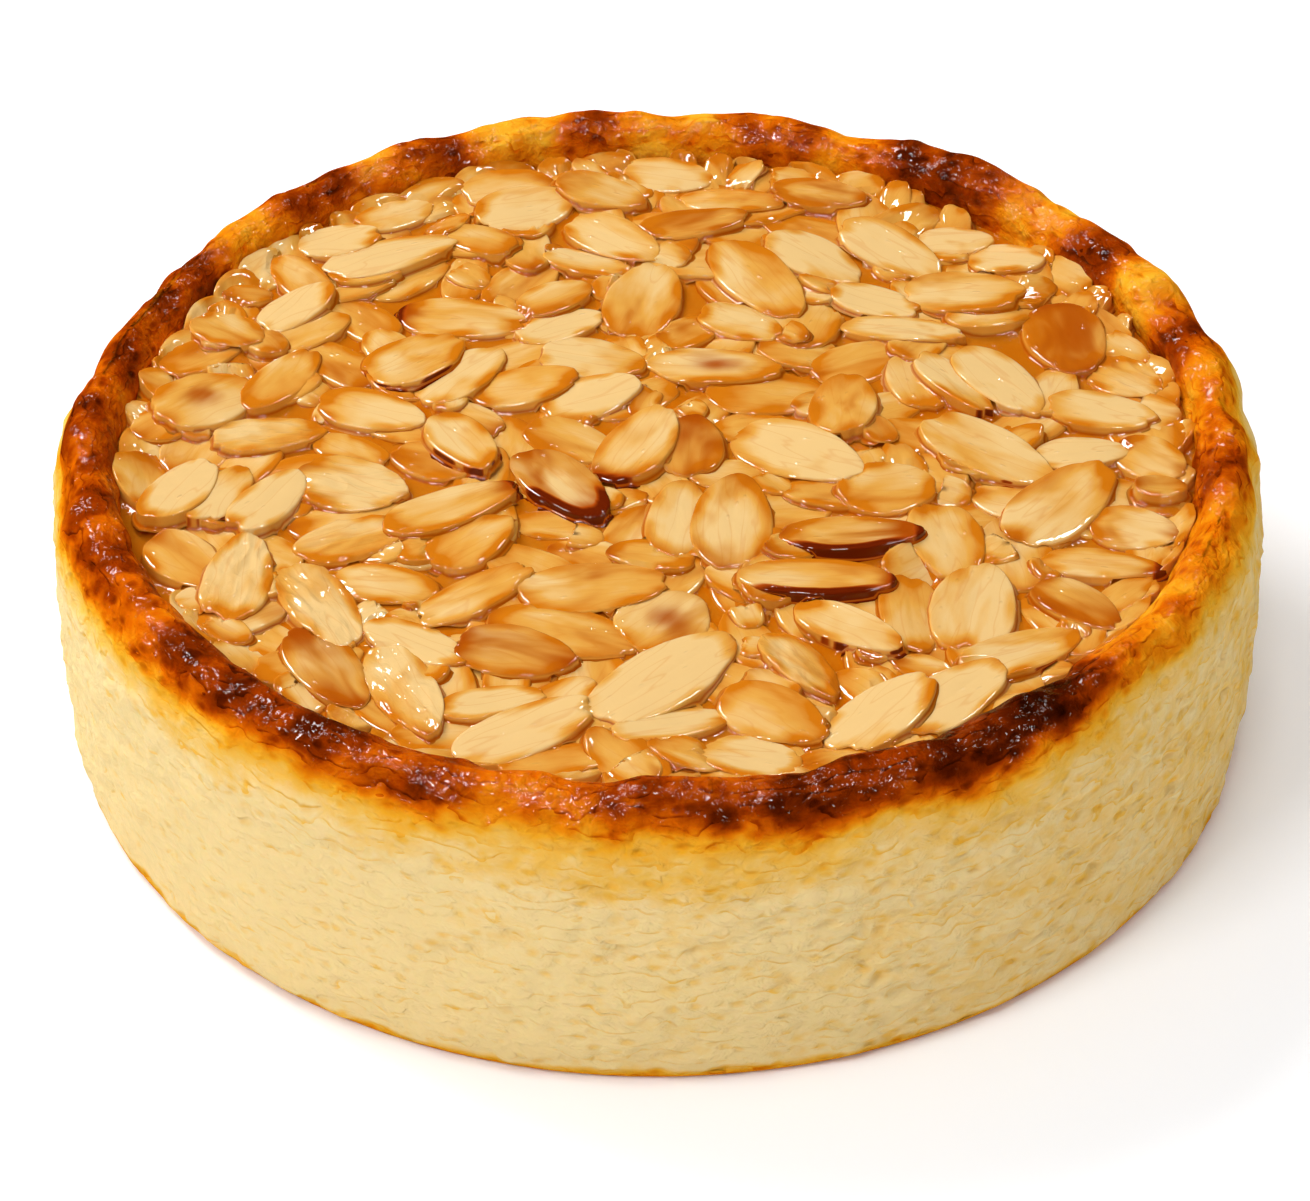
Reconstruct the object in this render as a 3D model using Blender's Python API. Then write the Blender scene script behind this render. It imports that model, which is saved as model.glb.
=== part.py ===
"""An 18 cm almond tart: a baked, pale body with a browned, craggy rim, and a glazed bed of sliced almonds.

Two solids, in metres, +Z up, with the origin at the middle of the flat underside:
baked_body      the whole baked body, with its bulging side, its swollen rim and the shallow recess inside it
almond_topping  the caramel bed in that recess, with the sliced almonds that show fused onto it
"""

import random
from dataclasses import dataclass
from math import atan2, cos, degrees, exp, hypot, pi, radians, sin, sqrt

import bmesh
import bpy
import numpy as np
from mathutils import Matrix, Vector, noise

MM = 0.001

# The body's driving sizes.
TART_RADIUS = 90.3 * MM
BASE_RADIUS = 89.0 * MM
BASE_EDGE = 1.3 * MM
WAIST_BULGE = 0.9 * MM
WAIST_SKEW = 0.85
CREST_HEIGHT = 49.2 * MM
CREST_RADIUS = 84.4 * MM
SHOULDER_DROP = 15.0 * MM
RECESS_RADIUS = 80.0 * MM
RECESS_LIP = 43.5 * MM
RECESS_FLOOR = 38.5 * MM
RECESS_DRAFT = 0.3 * MM
BODY_SEGMENTS = 160

# The rim's relief: long undulations and lumps. The side waves a little.
UNDULATION = 0.7 * MM
UNDULATION_LENGTH = 34.0 * MM
LUMP = 0.85 * MM
LUMP_LENGTH = 9.5 * MM
SIDE_WAVE = 0.45 * MM
SIDE_WAVE_LENGTH = 30.0 * MM

# Where the rim swelled most in the oven: azimuth and half width in degrees, and rise in millimetres.
SWELLS = (
    (14, 5, 1.0), (28, 7, 2.0), (38, 4, 0.4), (54, 9, 2.0), (78, 6, 1.0), (92, 4, 0.5), (105, 7, 1.6),
    (118, 6, 0.9), (142, 5, 0.3), (158, 12, -1.4), (178, 6, 0.8), (196, 6, 0.5), (212, 6, 0.7), (231, 7, 1.0),
    (248, 8, 1.0), (272, 9, 0.5), (292, 6, 1.2), (306, 10, 1.4), (326, 6, 0.3), (349, 7, 0.4),
)

# The topping's driving sizes.
TOPPING_GAP = 0.4 * MM
BED_LEVEL = 43.5 * MM
BED_BUMP = 0.5 * MM
BED_BUMP_LENGTH = 11.0 * MM
BED_BANK = 1.0 * MM
BED_BANK_WIDTH = 10.0 * MM
BED_RINGS = 7
BED_SEGMENTS = 40
FLAKE_REACH = 78.8 * MM
FLAKE_THICKNESS = 1.15 * MM
FLAKE_SIDES = 10
FLAKE_TAPER = 0.15
FLAKE_SINK = 0.45 * MM
FLAKE_ROOT = 1.6 * MM
STEEPEST_SLOPE = 0.42
RESTING_SHARE = 85
GRID_STEP = 1.0 * MM

# The small slices between those that stand out.
FILL_FLAKES = 215
FILL_SEED = 11
FILL_LENGTHS = (11 * MM, 20 * MM, 16 * MM)
FILL_WIDTH_SHARES = (0.46, 0.66)
HIDDEN_SHARE = 0.8
GOLDEN_ANGLE = pi * (3 - sqrt(5))

# The slices that stand out, lowest first: x, y, length and width in millimetres, and heading in degrees.
STANDOUT_FLAKES = (
    (-10, 22, 17, 12, -16), (-43, 9, 18, 9, -22), (-68, 11, 18, 13, 46), (-57, 17, 18, 8, 58),
    (38, 30, 20, 7, -11), (25, 50, 18, 10, -38), (12, 67, 17, 9, -12), (6, 59, 18, 8, 15),
    (-13, -45, 22, 11, -14), (2, -65, 18, 7, 20), (13, -72, 14, 10, -15), (-69, -29, 15, 9, -43),
    (36, -41, 18, 9, -88), (34, -11, 15, 12, 14), (42, -24, 18, 11, -80), (45, 15, 19, 7, -58),
    (1, -42, 15, 13, 50), (-23, -61, 16, 7, 17), (-15, 32, 15, 8, 28), (-39, -33, 16, 9, -13),
    (-34, -47, 18, 8, -37), (-27, -24, 15, 10, 39), (57, 51, 12, 9, -17), (72, 18, 13, 9, -40),
    (27, -45, 18, 7, -36), (-42, 62, 14, 7, 28), (-56, 36, 15, 8, 45), (5, 0, 15, 10, 88),
    (74, -4, 13, 9, -50), (47, 55, 13, 8, 0), (63, -2, 15, 8, 8), (13, 32, 15, 9, -35),
    (-10, 12, 16, 9, 18), (34, 38, 15, 8, -24), (71, -21, 13, 9, -16), (-11, 49, 15, 7, -22),
    (-16, 39, 14, 8, 35), (-64, -13, 17, 8, 70), (-21, 64, 17, 11, 22), (-42, 50, 23, 10, 26),
    (-51, 55, 14, 8, 15), (-20, 15, 17, 9, 12), (-30, 18, 18, 10, 50), (-37, 22, 18, 12, 42),
    (-30, 34, 21, 10, -6), (-67, 30, 13, 10, -40), (-58, 3, 18, 9, 15), (-45, -10, 17, 13, -15),
    (-70, -12, 19, 10, 70), (-57, -15, 17, 8, 58), (-13, 2, 15, 10, -30), (-29, 0, 17, 9, -62),
    (-3, 0, 20, 11, 66), (-2, 39, 20, 12, 76), (-7, 55, 18, 9, -38), (-9, 69, 15, 10, -18),
    (2, 75, 15, 8, -8), (26, 68, 16, 9, -14), (16, 43, 23, 11, -60), (37, 52, 19, 9, -38),
    (48, 40, 20, 12, -10), (63, 28, 19, 12, -78), (9, 20, 21, 9, -6), (21, -2, 22, 12, -32),
    (28, 10, 18, 10, 84), (52, 16, 20, 10, -58), (49, -2, 23, 11, -38), (67, 8, 17, 9, -18),
    (59, -15, 23, 12, 50), (65, -29, 18, 7, -10), (62, -40, 16, 9, -50), (3, -18, 20, 9, 84),
    (11, -19, 24, 12, 86), (45, -39, 21, 12, 76), (51, -50, 20, 9, 30), (41, -60, 20, 10, 44),
    (31, -63, 20, 11, 46), (20, -52, 17, 8, -58), (16, -63, 17, 10, -33), (-46, -53, 19, 10, -60),
    (-35, -58, 23, 9, -68), (-26, -36, 20, 8, 34), (-9, -35, 22, 11, 8), (-44, -23, 18, 9, 20),
    (-60, -33, 21, 10, 84), (-48, -38, 22, 10, -64), (-20, -50, 18, 10, -14), (23, -34, 23, 9, -4),
    (28, -23, 21, 10, 0), (-14, -10, 21, 10, -54), (-30, -16, 22, 10, 30), (-18, -67, 23, 10, 32),
    (1, -55, 27, 12, 44),
)


@dataclass
class Flake:
    """One slice of almond: its middle and size in metres, its heading in radians, and how it comes to lie."""

    x: float
    y: float
    length: float
    width: float
    heading: float
    top: float = 0.0
    slope_along: float = 0.0
    slope_across: float = 0.0


def clear_scene():
    """Remove what the file starts with."""
    for item in list(bpy.data.objects):
        bpy.data.objects.remove(item)


def add_material(name, colour, roughness):
    """A Principled material of one colour; nothing on a tart is metal."""
    material = bpy.data.materials.new(name)
    material.use_nodes = True
    shader = material.node_tree.nodes["Principled BSDF"]
    shader.inputs["Base Color"].default_value = (*colour, 1)
    shader.inputs["Roughness"].default_value = roughness
    shader.inputs["Metallic"].default_value = 0
    return material


def add_object(name, bm, material, collection=None):
    """Turn a bmesh into a named object of one material."""
    mesh = bpy.data.meshes.new(name)
    bm.to_mesh(mesh)
    bm.free()
    mesh.materials.append(material)
    item = bpy.data.objects.new(name, mesh)
    (collection or bpy.context.scene.collection).objects.link(item)
    return item


def spun(profile, segments):
    """A bmesh turned round the Z axis from a section of (radius, height) that starts and ends on the axis."""
    bm = bmesh.new()
    corners = [bm.verts.new((radius, 0, height)) for radius, height in profile]
    edges = [bm.edges.new(pair) for pair in zip(corners, corners[1:])]
    bmesh.ops.spin(
        bm, geom=corners + edges, cent=(0, 0, 0), axis=(0, 0, 1), angle=2 * pi, steps=segments
    )
    bmesh.ops.remove_doubles(bm, verts=bm.verts, dist=0.01 * MM)
    bmesh.ops.recalc_face_normals(bm, faces=bm.faces)
    return bm


def smooth_step(low, high, value):
    """0 below low, 1 above high, and an even curve between."""
    share = min(1, max(0, (value - low) / (high - low)))
    return share * share * (3 - 2 * share)


def wall_radius(height):
    """The side's radius at a height: it widens from the base and bulges a little at its waist."""
    share = height / (CREST_HEIGHT - SHOULDER_DROP)
    straight = BASE_RADIUS + (TART_RADIUS - BASE_RADIUS) * share
    return straight + WAIST_BULGE * sin(pi * share**WAIST_SKEW)


def arc(middle, radii, start, end, steps):
    """Points on a part of an ellipse, from start to end in degrees, with the start left out."""
    turns = (radians(start + (end - start) * step / steps) for step in range(1, steps + 1))
    return [(middle[0] + radii[0] * cos(turn), middle[1] + radii[1] * sin(turn)) for turn in turns]


def body_profile():
    """The body's section as (radius, height), from the middle of the underside to the middle of the recess."""
    shoulder = CREST_HEIGHT - SHOULDER_DROP
    points = [(0, 0), (BASE_RADIUS - BASE_EDGE, 0), (BASE_RADIUS, BASE_EDGE)]
    points += [(wall_radius(shoulder * share), shoulder * share) for share in (0.3, 0.65, 1)]
    outer = (TART_RADIUS - CREST_RADIUS, SHOULDER_DROP)
    points += arc((CREST_RADIUS, shoulder), outer, 0, 90, 5)
    inner = (CREST_RADIUS - RECESS_RADIUS, CREST_HEIGHT - RECESS_LIP)
    points += arc((CREST_RADIUS, RECESS_LIP), inner, 90, 180, 4)
    return points + [(RECESS_RADIUS - RECESS_DRAFT, RECESS_FLOOR), (0, RECESS_FLOOR)]


def swell(azimuth):
    """How far the rim has swollen at an azimuth in degrees, in metres."""
    rise = 0
    for middle, half_width, height in SWELLS:
        away = (azimuth - middle + 180) % 360 - 180
        rise += height * MM * exp(-((away / half_width) ** 2))
    return rise


def relief(point):
    """How a point of the plain body moves: the rim undulates, swells and is lumpy, and the side waves a little."""
    radius = hypot(point.x, point.y)
    outside = radius > CREST_RADIUS
    if outside:
        rim = smooth_step(CREST_HEIGHT - SHOULDER_DROP, CREST_HEIGHT - 5 * MM, point.z)
        side = smooth_step(0, 4 * MM, point.z) * SIDE_WAVE * noise.noise(point / SIDE_WAVE_LENGTH)
    else:
        rim = smooth_step(RECESS_LIP, CREST_HEIGHT - 2 * MM, point.z)
        side = 0
    lumps = LUMP * noise.noise(point / LUMP_LENGTH)
    rise = swell(degrees(atan2(point.y, point.x)))
    upward = rim * (UNDULATION * noise.noise(point / UNDULATION_LENGTH) + 0.8 * lumps + rise)
    outward = rim * (lumps + 0.5 * rise) * (1 if outside else -0.5) + side
    return Vector((point.x / radius * outward, point.y / radius * outward, upward))


def make_baked_body(material):
    """Turn the section round the axis, then work the relief into the rim and the side."""
    bm = spun(body_profile(), BODY_SEGMENTS)
    for vert in bm.verts:
        if hypot(vert.co.x, vert.co.y) > RECESS_RADIUS and vert.co.z > 0:
            vert.co += relief(vert.co)
    bmesh.ops.triangulate(bm, faces=bm.faces)
    body = add_object("baked_body", bm, material)
    body.data.shade_smooth()
    return body


def bed_height(x, y):
    """The top of the caramel bed, before the slices on it: bumpy, and banked up a little against the rim."""
    bank = smooth_step(RECESS_RADIUS - BED_BANK_WIDTH, RECESS_RADIUS, hypot(x, y))
    return BED_LEVEL + BED_BANK * bank + BED_BUMP * noise.noise(Vector((x, y, 0)) / BED_BUMP_LENGTH)


def bed_mesh():
    """The caramel bed: a disc with an uneven top that sits in the recess with a small gap all round."""
    radius = RECESS_RADIUS - RECESS_DRAFT - TOPPING_GAP
    floor = RECESS_FLOOR + TOPPING_GAP
    rings = [(radius * ring / BED_RINGS, BED_LEVEL) for ring in range(BED_RINGS, -1, -1)]
    bm = spun([(0, floor), (radius, floor), *rings], BED_SEGMENTS)
    for vert in bm.verts:
        if vert.co.z > (floor + BED_LEVEL) / 2:
            vert.co.z = bed_height(vert.co.x, vert.co.y)
    return bm


def held_inside(flake):
    """Pull a slice in along its radius until it stays clear of the rim."""
    radius = hypot(flake.x, flake.y)
    turn = flake.heading - atan2(flake.y, flake.x)
    reach = hypot(flake.length / 2 * cos(turn), flake.width / 2 * sin(turn))
    if radius + reach > FLAKE_REACH:
        share = (FLAKE_REACH - reach) / radius
        flake.x *= share
        flake.y *= share
    return flake


def standout_flakes():
    """The slices placed by hand."""
    return [
        held_inside(Flake(x * MM, y * MM, length * MM, width * MM, radians(heading)))
        for x, y, length, width, heading in STANDOUT_FLAKES
    ]


def lies_on(x, y, flake, share):
    """Whether a point lies on a slice that is shrunk to a share of its size."""
    along = (x - flake.x) * cos(flake.heading) + (y - flake.y) * sin(flake.heading)
    across = (y - flake.y) * cos(flake.heading) - (x - flake.x) * sin(flake.heading)
    return hypot(along / flake.length, across / flake.width) < share / 2


def fill_flakes(standing_out):
    """Small slices spread evenly on a golden-angle spiral, left out where one that stands out hides them."""
    draw = random.Random(FILL_SEED)
    found = []
    for number in range(FILL_FLAKES):
        radius = FLAKE_REACH * sqrt((number + 0.5) / FILL_FLAKES)
        azimuth = number * GOLDEN_ANGLE
        length = draw.triangular(*FILL_LENGTHS)
        width = length * draw.uniform(*FILL_WIDTH_SHARES)
        heading = draw.uniform(0, pi)
        x, y = radius * cos(azimuth), radius * sin(azimuth)
        if not any(lies_on(x, y, flake, HIDDEN_SHARE) for flake in standing_out):
            found.append(held_inside(Flake(x, y, length, width, heading)))
    return found


def lay(flakes):
    """Lay the slices one after another, each tilted to what lies under it, and note how each comes to lie."""
    cells = round(RECESS_RADIUS / GRID_STEP)
    line = np.arange(-cells, cells + 1) * GRID_STEP
    east, north = np.meshgrid(line, line)
    surface = np.array([[bed_height(x, y) for x in line] for y in line])
    for flake in flakes:
        along = (east - flake.x) * cos(flake.heading) + (north - flake.y) * sin(flake.heading)
        across = (north - flake.y) * cos(flake.heading) - (east - flake.x) * sin(flake.heading)
        under = np.hypot(along / flake.length, across / flake.width) < 0.5
        columns = np.stack([np.ones(under.sum()), along[under], across[under]], axis=1)
        level, slope_along, slope_across = np.linalg.lstsq(columns, surface[under], rcond=None)[0]
        flake.slope_along = float(np.clip(slope_along, -STEEPEST_SLOPE, STEEPEST_SLOPE))
        flake.slope_across = float(np.clip(slope_across, -STEEPEST_SLOPE, STEEPEST_SLOPE))
        plane = columns @ (level, flake.slope_along, flake.slope_across)
        lift = np.percentile(surface[under] - plane, RESTING_SHARE) + FLAKE_THICKNESS - FLAKE_SINK
        flake.top = float(level + lift)
        surface[under] = np.maximum(surface[under], plane + lift)
    return flakes


def flake_outline(flake):
    """A slice's outline: an oval with blunt ends, one a little broader than the other."""
    points = []
    for side in range(FLAKE_SIDES):
        turn = 2 * pi * (side + 0.5) / FLAKE_SIDES
        along = flake.length / 2 * cos(turn) / cos(pi / FLAKE_SIDES)
        across = flake.width / 2 * sin(turn) * (1 - FLAKE_TAPER * cos(turn))
        points.append((along, across))
    return points


def flake_mesh(flake):
    """A slice with the set caramel under it: its outline on its sloping plane, carried down into the bed."""
    bm = bmesh.new()
    root = bm.faces.new([bm.verts.new((u, v, BED_LEVEL - FLAKE_ROOT)) for u, v in flake_outline(flake)])
    extruded = bmesh.ops.extrude_face_region(bm, geom=[root])
    for item in extruded["geom"]:
        if isinstance(item, bmesh.types.BMVert):
            rise = item.co.x * flake.slope_along + item.co.y * flake.slope_across
            item.co.z = max(flake.top + rise, BED_LEVEL)
    bmesh.ops.recalc_face_normals(bm, faces=bm.faces)
    place = Matrix.Translation((flake.x, flake.y, 0)) @ Matrix.Rotation(flake.heading, 4, "Z")
    bmesh.ops.transform(bm, matrix=place, verts=bm.verts)
    return bm


def make_almond_topping(material):
    """Lay the slices on the bed, fuse them to it with one union, and clear the helpers away."""
    topping = add_object("almond_topping", bed_mesh(), material)
    helpers = bpy.data.collections.new("flakes")
    bpy.context.scene.collection.children.link(helpers)
    standing_out = standout_flakes()
    for flake in lay(fill_flakes(standing_out) + standing_out):
        add_object("flake", flake_mesh(flake), material, helpers)
    fuse = topping.modifiers.new("fuse", "BOOLEAN")
    fuse.operation = "UNION"
    fuse.operand_type = "COLLECTION"
    fuse.collection = helpers
    graph = bpy.context.evaluated_depsgraph_get()
    fused = bpy.data.meshes.new_from_object(topping.evaluated_get(graph))
    topping.modifiers.clear()
    topping.data = fused
    for helper in list(helpers.objects):
        bpy.data.objects.remove(helper)
    bpy.data.collections.remove(helpers)
    return topping


def main():
    """Build both solids."""
    clear_scene()
    make_baked_body(add_material("baked crust", (0.80, 0.58, 0.24), 0.5))
    make_almond_topping(add_material("glazed sliced almonds", (0.80, 0.52, 0.20), 0.25))


main()
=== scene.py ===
"""An 18 cm almond tart on a white studio floor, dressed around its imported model.

A pale baked body with a browned, blistered rim holds a pool of amber caramel, and sliced almonds lie in it.
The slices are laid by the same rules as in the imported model, so each one lies where its solid does.
"""

import logging
import random
from collections.abc import Callable, Iterable, Sequence
from dataclasses import dataclass, field
from enum import Enum
from functools import partial
from math import atan2, cos, hypot, pi, radians, sin, sqrt
from typing import Any

import bpy
import numpy as np
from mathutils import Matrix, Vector, noise


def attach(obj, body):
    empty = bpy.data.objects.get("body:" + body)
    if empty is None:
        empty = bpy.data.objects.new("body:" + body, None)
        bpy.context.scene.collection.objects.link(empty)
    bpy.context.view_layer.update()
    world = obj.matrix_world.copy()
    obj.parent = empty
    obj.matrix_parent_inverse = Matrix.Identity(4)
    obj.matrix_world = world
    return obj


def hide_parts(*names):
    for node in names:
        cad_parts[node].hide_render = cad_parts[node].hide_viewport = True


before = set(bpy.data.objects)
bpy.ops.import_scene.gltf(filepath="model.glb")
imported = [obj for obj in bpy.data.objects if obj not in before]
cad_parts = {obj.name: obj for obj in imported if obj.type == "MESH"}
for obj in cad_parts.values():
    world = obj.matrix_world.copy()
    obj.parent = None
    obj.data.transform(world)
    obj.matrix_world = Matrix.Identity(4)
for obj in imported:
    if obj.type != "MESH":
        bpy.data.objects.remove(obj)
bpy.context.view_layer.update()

MM = 0.001
FULL_TURN = 2 * pi
# A map range that rises along an even curve instead of a straight line.
SMOOTH = {"interpolation_type": "SMOOTHSTEP"}
# Layers of noise: each one's height, its grain in millimetres and its shift.
Layers = tuple[tuple[float, float, float], ...]
# Lights: name, azimuth and elevation in degrees, distance and side in metres, and watts.
Lights = tuple[tuple[str, float, float, float, float, float], ...]
log = logging.getLogger("almond_tart")


# --------------------------------------------------------------------------------------------------
# Small helpers
# --------------------------------------------------------------------------------------------------


def linear(code: str) -> tuple[float, float, float, float]:
    """Turns an sRGB hex code into the linear colour that a shader takes.

    Args:
        code: six hex digits, such as "F8E3A9".

    Returns:
        Red, green, blue and an alpha of 1.
    """
    shares = [int(code[start : start + 2], 16) / 255 for start in (0, 2, 4)]
    red, green, blue = (s / 12.92 if s <= 0.04045 else ((s + 0.055) / 1.055) ** 2.4 for s in shares)
    return red, green, blue, 1.0


def add_node(
    tree: bpy.types.NodeTree,
    kind: str,
    settings: dict[str | int, Any] | None = None,
    links: dict[str | int, bpy.types.Node | bpy.types.NodeSocket] | None = None,
) -> bpy.types.Node:
    """Adds one shader node with its settings and links.

    Args:
        tree: the material's or world's node tree.
        kind: the node's type name after "ShaderNode".
        settings: values by property name, or by input name or number. "stops" holds a colour ramp's places
            and hex colours.
        links: what feeds the inputs, by name or number: an output socket, or a node for its first output.

    Returns:
        The new node.
    """
    node = tree.nodes.new("ShaderNode" + kind)
    for name, value in (settings or {}).items():
        if name == "stops":
            elements = node.color_ramp.elements
            while len(elements) < len(value):
                elements.new(1.0)
            for element, (position, code) in zip(elements, value):
                element.position = position
                element.color = linear(code)
        elif isinstance(name, str) and hasattr(node, name):
            setattr(node, name, value)
        else:
            node.inputs[name].default_value = value
    for name, source in (links or {}).items():
        socket = source.outputs[0] if isinstance(source, bpy.types.Node) else source
        tree.links.new(socket, node.inputs[name])
    return node


def new_material(name: str) -> tuple[bpy.types.Material, Callable[..., bpy.types.Node]]:
    """Makes a material with an empty node tree.

    Args:
        name: the finish's name.

    Returns:
        The material, and add_node for its tree.
    """
    material = bpy.data.materials.new(name)
    material.use_nodes = True
    material.node_tree.nodes.clear()
    return material, partial(add_node, material.node_tree)


def smooth_step(low: float, high: float, value: np.ndarray | float) -> np.ndarray:
    """Rises from 0 at low to 1 at high along an even curve.

    Args:
        low: where the rise starts.
        high: where it ends.
        value: one number or an array of them.

    Returns:
        The share for each value.
    """
    share = np.clip((np.asarray(value, float) - low) / (high - low), 0, 1)
    return share * share * (3 - 2 * share)


def bell(share: np.ndarray) -> np.ndarray:
    """A bell curve: 1 at 0, about a third at 1 on either side."""
    return np.exp(-(share**2))


def wrapped(angle: np.ndarray, full_turn: float) -> np.ndarray:
    """Brings angles to within half a turn of 0."""
    return (angle + full_turn / 2) % full_turn - full_turn / 2


def lumpy(points: np.ndarray, length: float, shift: float = 0.0) -> np.ndarray:
    """Perlin noise at each point.

    Args:
        points: rows of x, y, z in metres.
        length: the noise's grain in metres.
        shift: moves the pattern, in grains, so that two layers differ.

    Returns:
        One value from about -1 to 1 for each point.
    """
    return np.array([noise.noise(Vector(point)) for point in (points / length + shift).tolist()])


def layered(points: np.ndarray, layers: Layers) -> np.ndarray:
    """Adds up layers of Perlin noise.

    Args:
        points: rows of x, y, z in metres.
        layers: each layer's height, its grain in millimetres and its shift.

    Returns:
        The sum at each point, in the heights' unit.
    """
    return sum(height * lumpy(points, grain * MM, shift) for height, grain, shift in layers)


def warped(points: np.ndarray, reach: float, grain: float, shifts: Iterable[float]) -> np.ndarray:
    """Moves points about by noise, so that a pattern laid on them wanders.

    Args:
        points: rows of x, y, z in metres.
        reach: how far they move, in metres.
        grain: the noise's grain in metres.
        shifts: the noise's shift for x, y and z.

    Returns:
        The moved points.
    """
    return points + reach * np.column_stack([lumpy(points, grain, shift) for shift in shifts])


def cells(points: np.ndarray, length: float) -> tuple[np.ndarray, np.ndarray]:
    """Voronoi cells at each point.

    Args:
        points: rows of x, y, z in metres.
        length: the cells' size in metres.

    Returns:
        The distance to the nearest cell's middle in cell sizes, and that cell's own random value.
    """
    away, own = [], []
    for point in (points / length).tolist():
        distances, middles = noise.voronoi(Vector(point))
        away.append(distances[0])
        own.append(noise.cell(middles[0] * 31.7))
    return np.array(away), np.array(own)


def blurred(heights: np.ndarray, radius: float) -> np.ndarray:
    """Smooths a grid of heights with a Gaussian.

    Args:
        heights: a square grid.
        radius: the Gaussian's standard deviation in cells.

    Returns:
        A grid of the same size.
    """
    reach = int(3 * radius) + 1
    weights = np.exp(-0.5 * (np.arange(-reach, reach + 1) / radius) ** 2)
    weights /= weights.sum()
    for _ in range(2):
        padded = np.pad(heights, ((reach, reach), (0, 0)), mode="edge")
        heights = sum(w * padded[i : i + heights.shape[0]] for i, w in enumerate(weights)).T
    return heights


def make_piece(
    name: str,
    points: np.ndarray,
    faces: Sequence[np.ndarray],
    marks: dict[str, np.ndarray] | None = None,
) -> bpy.types.Object:
    """Turns arrays into a smooth-shaded mesh object.

    Args:
        name: the piece's name.
        points: rows of x, y, z in metres.
        faces: arrays of corner numbers, each with one face a row.
        marks: values for each point, kept as attributes: one column as a number, three as a vector.

    Returns:
        The object, linked to the scene.
    """
    mesh = bpy.data.meshes.new(name)
    mesh.vertices.add(len(points))
    mesh.vertices.foreach_set("co", points.astype(np.float32).ravel())
    corners = np.concatenate([block.ravel() for block in faces]).astype(np.int32)
    sizes = np.concatenate([np.full(len(block), block.shape[1]) for block in faces])
    mesh.loops.add(len(corners))
    mesh.loops.foreach_set("vertex_index", corners)
    mesh.polygons.add(len(sizes))
    mesh.polygons.foreach_set("loop_start", (np.cumsum(sizes) - sizes).astype(np.int32))
    mesh.update(calc_edges=True)
    mesh.validate()
    mesh.shade_smooth()
    for mark, values in (marks or {}).items():
        kind, slot = ("FLOAT", "value") if values.ndim == 1 else ("FLOAT_VECTOR", "vector")
        mesh.attributes.new(mark, kind, "POINT").data.foreach_set(slot, values.astype(np.float32).ravel())
    piece = bpy.data.objects.new(name, mesh)
    bpy.context.scene.collection.objects.link(piece)
    return piece


def ring_quads(rings: int, around: int) -> np.ndarray:
    """Quads that join closed rings of points, one ring after another.

    Args:
        rings: how many rings there are.
        around: how many points each ring has.

    Returns:
        Rows of four corner numbers.
    """
    lower = np.arange(rings - 1)[:, None] * around
    here = np.arange(around)[None, :]
    after = (here + 1) % around
    quads = np.stack([lower + here, lower + after, lower + around + after, lower + around + here], axis=-1)
    return quads.reshape(-1, 4)


# --------------------------------------------------------------------------------------------------
# Finishes
# --------------------------------------------------------------------------------------------------


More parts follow.
